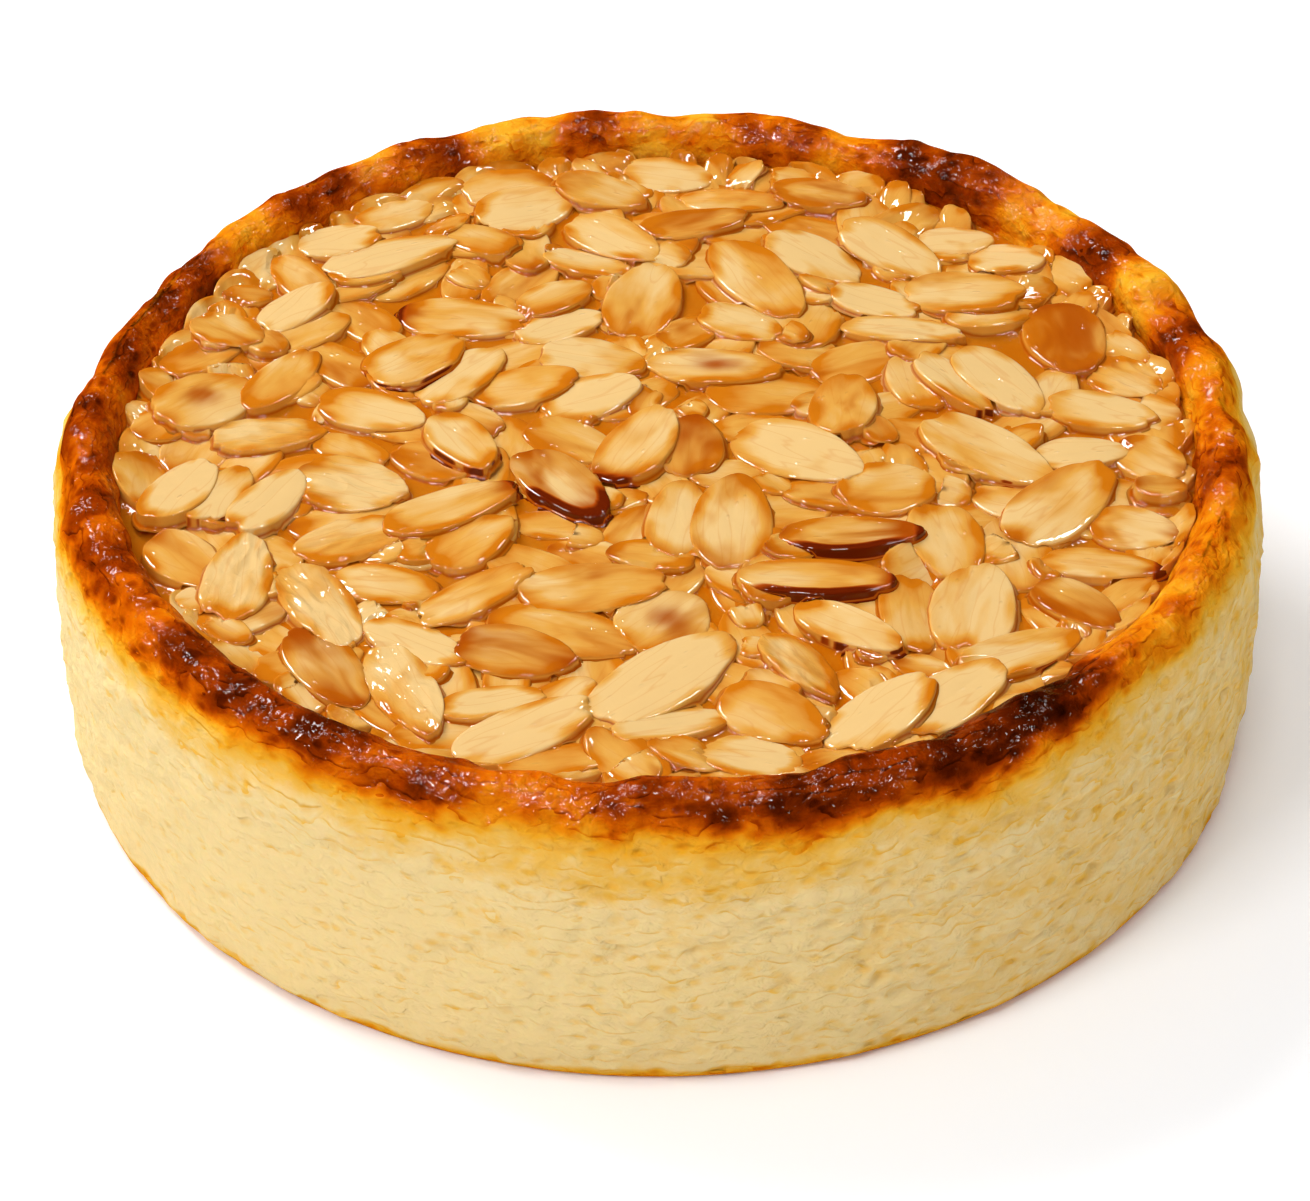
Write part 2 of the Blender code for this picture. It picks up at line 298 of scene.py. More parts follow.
@dataclass(frozen=True)
class BakedCrustFinish:
    """Baked custard sponge: cream on the side, amber where it set, caramelised to dark brown on the rim.

    The eye gets a soft, slightly translucent side with a damp sheen, and a rim that looks lacquered. Lengths
    are the real ones of the crumb, in millimetres; depths are how far each pattern rises.
    """

    cream: str = "E5C98D"
    butter: str = "E4B250"
    yellow: str = "E6A224"
    amber: str = "DC800A"
    orange: str = "C65A02"
    chestnut: str = "8E3000"
    dark: str = "501400"
    burnt: str = "260700"
    mottle_mm: float = 3.6
    crumb_mm: float = 2.6
    crumb_depth_mm: float = 0.9
    pore_mm: float = 2.3
    pore_depth_mm: float = 0.35
    shelf_mm: float = 2.6
    shelf_run_mm: float = 4.2
    shelf_depth_mm: float = 0.12
    shelf_swell: float = 0.82
    wrinkle_mm: float = 1.9
    wrinkle_depth_mm: float = 0.7
    crease_depth_mm: float = 0.8
    soft_mm: float = 1.4

    def material(self) -> bpy.types.Material:
        """Builds the material, driven by the body's "bake" mark and laid on its unrolled "skin".

        Returns:
            The material.
        """
        material, add = new_material("baked_custard_crust")
        place = add("TexCoord").outputs["Object"]
        skin = add("Attribute", {"attribute_name": "skin"}).outputs["Vector"]
        bake = add("Attribute", {"attribute_name": "bake"}).outputs["Fac"]
        # Each noise's length, detail, roughness and distortion, and what it is laid on.
        noises = (
            (self.mottle_mm, 2.5, 0.5, 0.4, place), (self.crumb_mm, 3.0, 0.6, 0.3, skin),
            (self.shelf_run_mm, 2.0, 0.5, 0.0, skin), (self.wrinkle_mm, 2.0, 0.5, 0.6, place),
        )
        mottle, crumb, shelf_run, wrinkle = (
            add(
                "TexNoise",
                {"Scale": 1 / (grain * MM), "Detail": detail, "Roughness": rough, "Distortion": swirl},
                {"Vector": where},
            )
            for grain, detail, rough, swirl, where in noises
        )
        pore = add("TexVoronoi", {"Scale": 1 / (self.pore_mm * MM), "Randomness": 1.0}, {"Vector": skin})
        # Each pore is a small pit in an otherwise even crumb.
        solid = add("MapRange", {**SMOOTH, "From Min": 0.05, "From Max": 0.42}, {"Value": pore})
        # The mottling is strong where the crust is baked and faint on the cream side.
        swing = add(
            "MapRange", {"From Min": 0.1, "From Max": 0.6, "To Min": 0.16, "To Max": 0.22}, {"Value": bake}
        )
        centred = add("Math", {"operation": "SUBTRACT", 1: 0.5}, {0: mottle})
        mottled = add("Math", {"operation": "MULTIPLY_ADD"}, {0: centred, 1: swing, 2: bake})
        # The crumb tore in small shelves: each swells downwards and then falls back sharply.
        down = add("SeparateXYZ", {}, {"Vector": skin}).outputs["Z"]
        wander = add("Math", {"operation": "MULTIPLY", 1: 3.0}, {0: shelf_run})
        step = add("Math", {"operation": "MULTIPLY_ADD", 1: 1 / (self.shelf_mm * MM)}, {0: down, 2: wander})
        ramp = add("Math", {"operation": "FRACT"}, {0: step})
        swell = add("Math", {"operation": "DIVIDE", 1: self.shelf_swell}, {0: ramp})
        steepness = 1 / (1 - self.shelf_swell)
        fall = add("Math", {"operation": "MULTIPLY_ADD", 1: -steepness, 2: steepness}, {0: ramp})
        ledge = add("Math", {"operation": "MINIMUM"}, {0: swell, 1: fall})
        torn_here = add("MapRange", {**SMOOTH, "From Min": 0.44, "From Max": 0.58}, {"Value": crumb})
        shelves = add("Math", {"operation": "MULTIPLY"}, {0: ledge, 1: torn_here})
        # Painted shade: the pits and the crumb's hollows are made yellower than the crumb between them, and so
        # is the crumb under each shelf's lip, where shade falls.
        crumb_painted_shade = add("Math", {"operation": "MULTIPLY_ADD", 1: -0.26, 2: 0.13}, {0: crumb})
        pit_painted_shade = add("Math", {"operation": "MULTIPLY_ADD", 1: -0.1, 2: 0.05}, {0: solid})
        painted_shade_under_lip = add("MapRange", {**SMOOTH, "From Min": 0.7, "To Max": 0.13}, {"Value": ramp})
        lip_painted_shade = add("Math", {"operation": "MULTIPLY_ADD"}, {0: painted_shade_under_lip, 1: torn_here, 2: crumb_painted_shade})
        tint = add("Math", {"operation": "ADD"}, {0: lip_painted_shade, 1: pit_painted_shade})
        # The painted shade is added on top of the mottled browning.
        shade = add("Math", {"operation": "ADD"}, {0: mottled, 1: tint})
        stages = (
            (0.0, self.cream), (0.16, self.butter), (0.32, self.yellow), (0.45, self.amber),
            (0.57, self.orange), (0.70, self.chestnut), (0.84, self.dark), (1.0, self.burnt),
        )
        colour = add("ValToRGB", {"stops": stages}, {"Fac": shade})
        lacquer = add(
            "MapRange", {"From Min": 0.3, "From Max": 0.6, "To Min": 0.18, "To Max": 0.3}, {"Value": bake}
        )
        dull = add(
            "MapRange", {"From Min": 0.15, "From Max": 0.55, "To Min": 0.5, "To Max": 0.32}, {"Value": bake}
        )
        # The juice that set on the crust lies in smooth wrinkles, so its glints are small and sharp.
        wrinkles = add("Bump", {"Strength": 1.0, "Distance": self.wrinkle_depth_mm * MM}, {"Height": wrinkle})
        # The crust itself is creased where it baked hard.
        baked_hard = add("MapRange", {**SMOOTH, "From Min": 0.22, "From Max": 0.42}, {"Value": bake})
        creases = add("Math", {"operation": "MULTIPLY"}, {0: wrinkle, 1: baked_hard})
        reliefs = (
            (crumb, 0.8, self.crumb_depth_mm), (solid, 0.7, self.pore_depth_mm),
            (shelves, 1.0, self.shelf_depth_mm), (creases, 0.9, self.crease_depth_mm),
        )
        # Each relief lies on the one before it.
        below = {}
        for height, strength, depth in reliefs:
            bump = add("Bump", {"Strength": strength, "Distance": depth * MM}, {"Height": height, **below})
            below = {"Normal": bump}
        shader = add(
            "BsdfPrincipled",
            {
                "Metallic": 0.0,
                "IOR": 1.45,
                "Specular IOR Level": 0.0,
                "Subsurface Weight": 0.3,
                "Subsurface Radius": (1.0, 0.55, 0.25),
                "Subsurface Scale": self.soft_mm * MM,
                "Coat Roughness": 0.07,
                "Coat IOR": 1.5,
            },
            {
                "Base Color": colour, "Roughness": dull, "Coat Weight": lacquer,
                "Coat Normal": wrinkles, **below,
            },
        )
        add("OutputMaterial", {}, {"Surface": shader})
        return material


@dataclass(frozen=True)
class CaramelFinish:
    """Set caramel: an amber syrup, pale where it films over a slice, browner where it lies deep and darker
    where painted shade is added next to taller slices.

    The eye gets wet, mirror-sharp glints on a warm, clear-looking body.
    """

    film: str = "C07C22"
    warm_film: str = "B0640E"
    amber: str = "B25A02"
    deep: str = "A04E02"
    bottom: str = "7E3804"
    ripple_mm: float = 3.0
    ripple_depth_mm: float = 0.6
    soft_mm: float = 1.0

    def material(self) -> bpy.types.Material:
        """Builds the material, driven by the pool's "depth" mark, which also carries painted shade, and the
        "tone" of what it covers.

        Returns:
            The material.
        """
        material, add = new_material("set_caramel")
        place = add("TexCoord").outputs["Object"]
        depth = add("Attribute", {"attribute_name": "depth"}).outputs["Fac"]
        tone = add("Attribute", {"attribute_name": "tone"}).outputs["Fac"]
        ripple = add(
            "TexNoise",
            {"Scale": 1 / (self.ripple_mm * MM), "Detail": 3.0, "Roughness": 0.55},
            {"Vector": place},
        )
        warm = add("Math", {"operation": "MULTIPLY_ADD", 1: 0.75}, {0: ripple, 2: tone})
        covered = add("ValToRGB", {"stops": ((0.4, self.film), (0.95, self.warm_film))}, {"Fac": warm})
        stages = ((0.25, self.amber), (0.6, self.deep), (1.0, self.bottom))
        syrup = add("ValToRGB", {"stops": stages}, {"Fac": depth})
        cover = add("MapRange", {**SMOOTH, "From Min": 0.0, "From Max": 0.35}, {"Value": depth})
        colour = add("Mix", {"data_type": "RGBA"}, {0: cover, 6: covered, 7: syrup}).outputs[2]
        bump = add("Bump", {"Strength": 0.5, "Distance": self.ripple_depth_mm * MM}, {"Height": ripple})
        shader = add(
            "BsdfPrincipled",
            {
                "Metallic": 0.0,
                "Roughness": 0.3,
                "IOR": 1.49,
                "Specular IOR Level": 0.0,
                "Subsurface Weight": 0.12,
                "Subsurface Radius": (1.0, 0.6, 0.3),
                "Subsurface Scale": self.soft_mm * MM,
                "Coat Weight": 0.65,
                "Coat Roughness": 0.03,
                "Coat IOR": 1.5,
            },
            {"Base Color": colour, "Normal": bump, "Coat Normal": bump},
        )
        add("OutputMaterial", {}, {"Surface": shader})
        return material


@dataclass(frozen=True)
class SlicedAlmondFinish:
    """Sliced almond under a thin glaze: creamy flesh with a faint grain, toasted patches and some brown skin.

    The eye gets a waxy, slightly translucent slice with sharp small glints where the glaze has run. The
    pattern is laid on the slice's own "grain" mark, which is in millimetres.
    """

    name: str
    pale: str = "D8B376"
    golden: str = "D09742"
    amber: str = "C06C0E"
    toasted: str = "9C4406"
    chestnut: str = "A8440A"
    skin: str = "601A02"
    edge: str = "E4A13C"
    stained: str = "A04600"
    grain_mm: float = 1.1
    grain_depth_mm: float = 0.05
    vein_mm: float = 2.6
    cloud_mm: float = 6.25
    bead_mm: float = 2.2
    bead_depth_mm: float = 0.16
    ripple_mm: float = 2.4
    ripple_depth_mm: float = 0.12
    soft_mm: float = 0.8

    def material(self) -> bpy.types.Material:
        """Builds the material, driven by the marks that the slices carry.

        Returns:
            The material.
        """
        material, add = new_material(self.name)
        tone, toast, skin, rim, foot = (
            add("Attribute", {"attribute_name": mark}).outputs["Fac"]
            for mark in ("tone", "toast", "skin", "rim", "foot")
        )
        place = add("Attribute", {"attribute_name": "grain"}).outputs["Vector"]
        # The flesh's grain runs along the slice, and so do its veins.
        along_grain = add("Mapping", {"Scale": (0.5, 1.0, 1.0)}, {"Vector": place})
        along_veins = add("Mapping", {"Scale": (0.35, 1.0, 1.0)}, {"Vector": place})
        # Each noise's length, detail, roughness and distortion, and what it is laid on.
        noises = (
            (self.grain_mm, 4.0, 0.65, 0.0, along_grain), (self.cloud_mm, 2.0, 0.5, 0.6, place),
            (self.vein_mm, 1.0, 0.5, 0.3, along_veins), (self.ripple_mm, 2.0, 0.5, 0.8, place),
        )
        grain, cloud, streak, ripple = (
            add(
                "TexNoise",
                {"Scale": 1 / length, "Detail": detail, "Roughness": rough, "Distortion": swirl},
                {"Vector": where},
            )
            for length, detail, rough, swirl, where in noises
        )
        warm = add("Math", {"operation": "MULTIPLY_ADD", 1: 0.9, "use_clamp": True}, {0: cloud, 2: tone})
        streaked = add("Math", {"operation": "MULTIPLY_ADD", 1: 0.16, "use_clamp": True}, {0: grain, 2: warm})
        stages = ((0.36, self.pale), (0.62, self.golden), (0.95, self.amber))
        flesh = add("ValToRGB", {"stops": stages}, {"Fac": streaked})
        # The veins are thin lines where a drawn-out noise crosses its middle.
        off_middle = add("Math", {"operation": "SUBTRACT", 1: 0.5}, {0: streak})
        beside = add("Math", {"operation": "ABSOLUTE"}, {0: off_middle})
        vein = add(
            "MapRange",
            {**SMOOTH, "From Min": 0.0, "From Max": 0.03, "To Min": 0.2, "To Max": 0.0},
            {"Value": beside},
        )
        # Toasted patches come where the cloud and the slice's own toast add up.
        ragged = add("Math", {"operation": "MULTIPLY_ADD", 1: 1.1}, {0: cloud, 2: toast})
        patch = add("MapRange", {**SMOOTH, "From Min": 0.72, "From Max": 1.3}, {"Value": ragged})
        colour = flesh
        tints = ((vein, self.amber), (patch, self.toasted), (rim, self.edge), (foot, self.stained))
        for share, tint in tints:
            colour = add("Mix", {"data_type": "RGBA", 7: linear(tint)}, {0: share, 6: colour}).outputs[2]
        # The skin ends in a thin chestnut line.
        brown = add("ValToRGB", {"stops": ((0.35, self.chestnut), (0.7, self.skin))}, {"Fac": skin})
        skin_here = add("MapRange", {**SMOOTH, "From Min": 0.2, "From Max": 0.45}, {"Value": skin})
        skinned = add("Mix", {"data_type": "RGBA"}, {0: skin_here, 6: colour, 7: brown}).outputs[2]
        bump = add("Bump", {"Strength": 0.8, "Distance": self.ripple_depth_mm * MM}, {"Height": ripple})
        fine = add(
            "Bump", {"Strength": 0.4, "Distance": self.grain_depth_mm * MM}, {"Height": grain, "Normal": bump}
        )
        # At a slice's foot the glaze soaked in, so it mirrors less of the pale slices round it.
        glazed = add(
            "MapRange", {"From Min": 0.0, "From Max": 0.6, "To Min": 1.0, "To Max": 0.4}, {"Value": foot}
        )
        # Here and there the glaze dried as a small bead, which glints.
        scattered = add("TexVoronoi", {"Scale": 1 / self.bead_mm, "Randomness": 1.0}, {"Vector": place})
        dome = add(
            "MapRange",
            {**SMOOTH, "From Min": 0.02, "From Max": 0.17, "To Min": 1.0, "To Max": 0.0},
            {"Value": scattered},
        )
        beaded = add(
            "Bump", {"Strength": 1.0, "Distance": self.bead_depth_mm * MM}, {"Height": dome, "Normal": bump}
        )
        shader = add(
            "BsdfPrincipled",
            {
                "Metallic": 0.0,
                "Roughness": 0.38,
                "IOR": 1.46,
                "Specular IOR Level": 0.0,
                "Subsurface Weight": 0.1,
                "Subsurface Radius": (1.0, 1.0, 1.0),
                "Subsurface Scale": self.soft_mm * MM,
                "Coat Roughness": 0.03,
                "Coat IOR": 1.48,
            },
            {"Base Color": skinned, "Coat Weight": glazed, "Normal": fine, "Coat Normal": beaded},
        )
        add("OutputMaterial", {}, {"Surface": shader})
        return material


@dataclass(frozen=True)
class StudioBoardFinish:
    """Matt white board, painted and faintly lit from behind: the eye gets a plain pale floor."""

    white: str = "FBFCFF"
    glow: str = "F6F8FA"
    glow_strength: float = 0.05

    def material(self) -> bpy.types.Material:
        """Builds the material.

        Returns:
            The material.
        """
        material, add = new_material("matt_white_board")
        shader = add(
            "BsdfPrincipled",
            {
                "Base Color": linear(self.white),
                "Roughness": 0.9,
                "Specular IOR Level": 0.0,
                "Emission Color": linear(self.glow),
                "Emission Strength": self.glow_strength,
            },
        )
        add("OutputMaterial", {}, {"Surface": shader})
        return material


# --------------------------------------------------------------------------------------------------
# The baked body
# --------------------------------------------------------------------------------------------------


@dataclass(frozen=True)
class TartSizes:
    """The sizes that the body and the topping share, in metres."""

    radius: float = 90.3 * MM
    base_radius: float = 89.0 * MM
    base_edge: float = 1.3 * MM
    waist_bulge: float = 0.9 * MM
    waist_skew: float = 0.85
    crest_height: float = 49.2 * MM
    crest_radius: float = 84.4 * MM
    shoulder_drop: float = 15.0 * MM
    recess_radius: float = 80.0 * MM
    recess_lip: float = 43.5 * MM
    recess_floor: float = 38.5 * MM
    recess_draft: float = 0.3 * MM


@dataclass
class BakedBody:
    """The baked body: a bulging cream side, a swollen and blistered rim, and the recess inside it."""

    sizes: TartSizes
    finish: BakedCrustFinish = BakedCrustFinish()
    around: int = 960
    foot_rows: int = 4
    side_rows: int = 47
    outer_rows: int = 32
    inner_rows: int = 13
    wall_rows: int = 2
    undulation: float = 0.7 * MM
    undulation_length: float = 34.0 * MM
    lump: float = 0.85 * MM
    lump_length: float = 9.5 * MM
    drawn_out: float = 0.68
    # Painted light: the azimuth in degrees where the side's colour is made palest, where the lights fall.
    lit_side_azimuth: float = 205.0
    side_wave: float = 0.45 * MM
    side_wave_length: float = 30.0 * MM
    # The rim's knobs, folds and fine wrinkles, how the side's shelves wander, how raggedly the browning ends
    # and how patchy it is.
    knobs: Layers = ((0.8, 5.4, 3.0), (0.5, 2.9, 7.0), (0.1, 1.7, 11.0))
    shelf_wander: Layers = ((1.5, 7.5, 61.0), (0.5, 3.2, 63.0))
    ragged_edge: Layers = ((2.4, 10.0, 17.0), (1.3, 4.0, 19.0), (0.6, 1.8, 21.0))
    patches: Layers = ((1.6, 6.5, 23.0), (0.6, 2.4, 29.0))
    shelf_height: float = 5.2 * MM
    shelf_swell: float = 0.8
    pit_size: float = 2.8 * MM
    pit_depth: float = 0.65
    plain_weight: float = 0.15
    plain_darkness: float = 0.4
    plain_run: float = 5.0
    # Where the rim's crust fades, outside and inside, by distance from the crest, and where the side's crumb
    # comes in, by that distance and by height.
    crust_outside: tuple[float, float] = (17 * MM, 9 * MM)
    crust_inside: tuple[float, float] = (-10.5 * MM, -8 * MM)
    side_below: tuple[float, float] = (9 * MM, 15 * MM)
    side_above: tuple[float, float] = (0.0, 2.5 * MM)
    # How much browner the side's hollows are made as painted shade, how much browner its mottles are, and how
    # much browner the parts facing away from its lit side are made as painted shade.
    hollow_painted_shade: float = 0.05
    mottle_bake: float = 0.05
    painted_shade_away_from_light: float = 0.078
    foot_band: float = 3.0 * MM
    foot_bake: float = 0.46
    # Where the rim swelled most: azimuth and half width in degrees, and rise in millimetres.
    swells: tuple[tuple[float, float, float], ...] = (
        (14, 5, 1.0), (28, 7, 2.0), (38, 4, 0.4), (54, 9, 2.0), (78, 6, 1.0), (92, 4, 0.5), (105, 7, 1.6),
        (118, 6, 0.9), (142, 5, 0.3), (158, 12, -1.4), (178, 6, 0.8), (196, 6, 0.5), (212, 6, 0.7),
        (231, 7, 1.0), (248, 8, 1.0), (272, 9, 0.5), (292, 6, 1.2), (306, 10, 1.4), (326, 6, 0.3),
        (349, 7, 0.4),
    )
    # How dark the rim baked: azimuth and half width in degrees, then darkness, with 1 for a very dark patch,
    # and how far it runs down the outside in millimetres.
    scorches: tuple[tuple[float, float, float, float], ...] = (
        (-149, 8, 0.8, 6.0), (-129, 8, 1.0, 7.5), (-115, 6, 1.0, 7.0), (-101, 5, 0.35, 6.5),
        (-88, 7, 0.95, 7.5), (-69, 9, 1.0, 7.0), (-53, 8, 1.45, 6.0), (-36, 8, 0.35, 3.5),
        (-22, 7, 0.3, 2.6), (-8, 5, 0.75, 2.8), (5, 5, 0.45, 2.6), (16, 4, 0.8, 3.4), (25, 4, 0.25, 5.0),
        (33, 4, 1.0, 4.5), (43, 5, 0.15, 5.0), (57, 9, 1.0, 6.0), (67, 4, 0.4, 5.0), (76, 5, 0.7, 5.0),
        (88, 6, 0.15, 4.5), (97, 4, 0.72, 4.5), (106, 5, 0.2, 4.5), (115, 5, 0.8, 5.0), (122, 4, 0.3, 5.0),
        (131, 6, 0.8, 5.0), (141, 4, 0.45, 5.0), (152, 6, 0.85, 5.0), (165, 7, 0.8, 6.0), (178, 6, 0.8, 6.5),
        (-165, 8, 0.75, 7.0),
    )

    def wall_radius(self, height: float) -> float:
        """The side's radius at a height.

        Args:
            height: from the underside, in metres.

        Returns:
            The radius in metres.
        """
        sizes = self.sizes
        share = height / (sizes.crest_height - sizes.shoulder_drop)
        straight = sizes.base_radius + (sizes.radius - sizes.base_radius) * share
        return straight + sizes.waist_bulge * sin(pi * share**sizes.waist_skew)

    def section(self) -> np.ndarray:
        """The body's section from the foot over the crest and down into the recess.

        Returns:
            Rows of radius, height and distance from the crest, outward positive, in metres.
        """
        sizes = self.sizes
        shoulder = sizes.crest_height - sizes.shoulder_drop
        rows = []
        for step in range(self.foot_rows):
            turn = radians(90 * step / self.foot_rows)
            middle = sizes.base_radius - sizes.base_edge
            rows.append((middle + sizes.base_edge * sin(turn), sizes.base_edge * (1 - cos(turn))))
        for step in range(self.side_rows):
            height = sizes.base_edge + (shoulder - sizes.base_edge) * step / self.side_rows
            rows.append((self.wall_radius(height), height))
        for step in range(self.outer_rows):
            turn = radians(90 * step / self.outer_rows)
            reach = sizes.radius - sizes.crest_radius
            rows.append((sizes.crest_radius + reach * cos(turn), shoulder + sizes.shoulder_drop * sin(turn)))
        crest_row = len(rows)
        for step in range(self.inner_rows + 1):
            turn = radians(90 + 90 * step / self.inner_rows)
            reach, rise = sizes.crest_radius - sizes.recess_radius, sizes.crest_height - sizes.recess_lip
            rows.append((sizes.crest_radius + reach * cos(turn), sizes.recess_lip + rise * sin(turn)))
        for step in range(1, self.wall_rows + 1):
            share = step / self.wall_rows
            drop = (sizes.recess_lip - sizes.recess_floor) * share
            rows.append((sizes.recess_radius - sizes.recess_draft * share, sizes.recess_lip - drop))
        line = np.array(rows)
        walked = np.concatenate([[0], np.cumsum(np.hypot(*np.diff(line, axis=0).T))])
        return np.column_stack([line, walked[crest_row] - walked])

    def swell(self, azimuths: np.ndarray) -> np.ndarray:
        """How far the rim has swollen.

        Args:
            azimuths: in degrees.

        Returns:
            The rise in metres at each azimuth.
        """
        rise = np.zeros_like(azimuths)
        for middle, half_width, height in self.swells:
            rise += height * MM * bell(wrapped(azimuths - middle, 360) / half_width)
        return rise

    def relief(self, points: np.ndarray) -> np.ndarray:
        """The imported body's own relief: the rim undulates, swells and is lumpy, and the side waves a little.

        Args:
            points: rows of x, y, z on the plain section.

        Returns:
            How far each point moves.
        """
        sizes = self.sizes
        radius = np.hypot(points[:, 0], points[:, 1])
        outside = radius > sizes.crest_radius
        shoulder = sizes.crest_height - sizes.shoulder_drop
        rim_outside = smooth_step(shoulder, sizes.crest_height - 5 * MM, points[:, 2])
        rim_inside = smooth_step(sizes.recess_lip, sizes.crest_height - 2 * MM, points[:, 2])
        rim = np.where(outside, rim_outside, rim_inside)
        wave = smooth_step(0, 4 * MM, points[:, 2]) * self.side_wave * lumpy(points, self.side_wave_length)
        lumps = self.lump * lumpy(points, self.lump_length)
        rise = self.swell(np.degrees(np.arctan2(points[:, 1], points[:, 0])))
        upward = rim * (self.undulation * lumpy(points, self.undulation_length) + 0.8 * lumps + rise)
        outward = rim * (lumps + 0.5 * rise) * np.where(outside, 1, -0.5) + np.where(outside, wave, 0)
        return np.column_stack([points[:, 0] / radius * outward, points[:, 1] / radius * outward, upward])

    def crust_relief(self, points: np.ndarray) -> np.ndarray:
        """The rim's fine relief: knobs, creases and wrinkles, drawn out along the rim.

        Args:
            points: rows of places on the unrolled skin.

        Returns:
            The height in metres at each point.
        """
        return layered(warped(points, 2.0 * MM, 7.0 * MM, (41.0, 43.0, 47.0)), self.knobs) * MM

    def side_relief(self, points: np.ndarray) -> tuple[np.ndarray, np.ndarray]:
        """The side's fine relief: soft lumps, small torn scallops and hollows.

        Args:
            points: rows of places on the unrolled skin.

        Returns:
            The height in metres at each point, and how hollow it is from 0 to 1.
        """
        moved = warped(points, 1.8 * MM, 6.0 * MM, (51.0, 53.0, 57.0))
        soft = 0.4 * lumpy(moved, 7.0 * MM, 5.0)
        # Torn shelves, which swell downwards and then fall back sharply.
        ramp = (points[:, 2] / self.shelf_height + layered(moved, self.shelf_wander)) % 1
        torn = smooth_step(-0.15, 0.25, lumpy(points, 6.0 * MM, 67.0))
        shelf = np.minimum(ramp / self.shelf_swell, (1 - ramp) / (1 - self.shelf_swell))
        scallops = 0.5 * shelf * torn - 0.15
        fine = 0.3 * lumpy(moved, 1.9 * MM, 15.0)
        # Each cell's own chance sets how wide and deep its pit is, and whether it has one.
        away, own = cells(moved, self.pit_size)
        pits = np.clip(1 - (away / (0.28 + 0.2 * own)) ** 2, 0, 1) * (own > -0.2) * (0.6 + 0.4 * own)
        height = soft + scallops + fine - self.pit_depth * pits
        return height * MM, smooth_step(0.3, -0.7, height)

    def bake(self, azimuths: np.ndarray, away: np.ndarray, points: np.ndarray) -> np.ndarray:
        """How far each point has browned.

        Args:
            azimuths: in degrees.
            away: distance from the crest along the section, outward positive, in metres.
            points: rows of x, y, z.

        Returns:
            0 for cream to 1 for burnt.
        """
        darkness = np.full_like(azimuths, self.plain_darkness * self.plain_weight)
        reach = np.full_like(azimuths, self.plain_run * self.plain_weight)
        weight = np.full_like(azimuths, self.plain_weight)
        for middle, half_width, dark, run in self.scorches:
            share = bell(wrapped(azimuths - middle, 360) / half_width)
            darkness += dark * share
            reach += run * share
            weight += share
        darkness, reach = darkness / weight, reach / weight
        distance = away / MM + layered(points, self.ragged_edge)
        inner = smooth_step(-9.0, -4.0, distance)
        outer = 1 - smooth_step(reach - 3.0, reach + 1.5, distance)
        fade = 0.3 * (1 - smooth_step(reach - 0.5, reach + 4.5, distance))
        fade += 0.22 * (1 - smooth_step(reach + 1.0, reach + 13.0, distance))
        patches = np.clip(layered(points, self.patches), -1, 1)
        crust = 0.50 + 0.50 * (darkness - 0.32) * (0.6 + 0.4 * inner) + 0.12 * patches
        return np.clip(fade + outer * (crust - fade), 0, 1)

    def build(self) -> bpy.types.Object:
        """Builds the body's mesh with its "bake" and "skin" marks.

        Returns:
            The body, not yet dressed.
        """
        section = self.section()
        turns = FULL_TURN * np.arange(self.around) / self.around
        radius = np.repeat(section[:, 0], self.around)
        height = np.repeat(section[:, 1], self.around)
        away = np.repeat(section[:, 2], self.around)
        turn = np.tile(turns, len(section))
        plain = np.column_stack([radius * np.cos(turn), radius * np.sin(turn), height])
        slopes = np.gradient(section[:, :2], axis=0)
        slopes /= np.hypot(*slopes.T)[:, None]
        outward = np.repeat(slopes[:, 1], self.around)
        upward = np.repeat(-slopes[:, 0], self.around)
        facing = np.column_stack([np.cos(turn) * outward, np.sin(turn) * outward, upward])
        moving = (radius > self.sizes.recess_radius - 0.01 * MM) & (height > 0)
        crust = smooth_step(*self.crust_outside, away) * smooth_step(*self.crust_inside, away)
        side = smooth_step(*self.side_below, away) * smooth_step(*self.side_above, height)
        # The skin laid out on a drum, with lengths along the rim shortened, so that its lumps come out long.
        drum = self.drawn_out * self.sizes.crest_radius
        unrolled = np.column_stack([drum * np.cos(turn), drum * np.sin(turn), away])
        rough = self.crust_relief(unrolled) * crust
        soft, hollow = self.side_relief(unrolled)
        points = plain + np.where(moving[:, None], self.relief(plain), 0)
        points += facing * np.where(moving, rough + soft * side, 0)[:, None]
        azimuths = np.degrees(turn + pi) % 360 - 180
        bake = self.bake(azimuths, away, plain)
        # Painted light: the side is made palest on its left front, where the lights fall, and browner away
        # from there.
        away_from_light = 1 - np.cos(np.radians(azimuths) - radians(self.lit_side_azimuth))
        mottles = self.mottle_bake * lumpy(plain, 14 * MM, 31.0)
        # Painted shade: the side's hollows are made browner; the mottles are its own.
        bake += (self.hollow_painted_shade * hollow - 0.03 + mottles + self.painted_shade_away_from_light * away_from_light) * side
        foot = self.foot_band * (1 + 0.5 * lumpy(plain, 6 * MM, 37.0))
        bake = np.maximum(bake, self.foot_bake * smooth_step(1.0, 0.2, height / foot))
        rings = len(section)
        caps = np.arange(self.around)
        faces = [
            ring_quads(rings, self.around),
            caps[::-1][None, :],
            (caps + (rings - 1) * self.around)[None, :],
        ]
        return make_piece("baked_body_crust", points, faces, {"bake": np.clip(bake, 0, 1), "skin": unrolled})

    def dress(self, piece: bpy.types.Object) -> None:
        """Gives the body its finish and puts it in the place of its solid.

        Args:
            piece: the body.
        """
        piece.data.materials.append(self.finish.material())
        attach(piece, "root")
        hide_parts("baked_body")


# --------------------------------------------------------------------------------------------------
# The slices and how they lie
# --------------------------------------------------------------------------------------------------


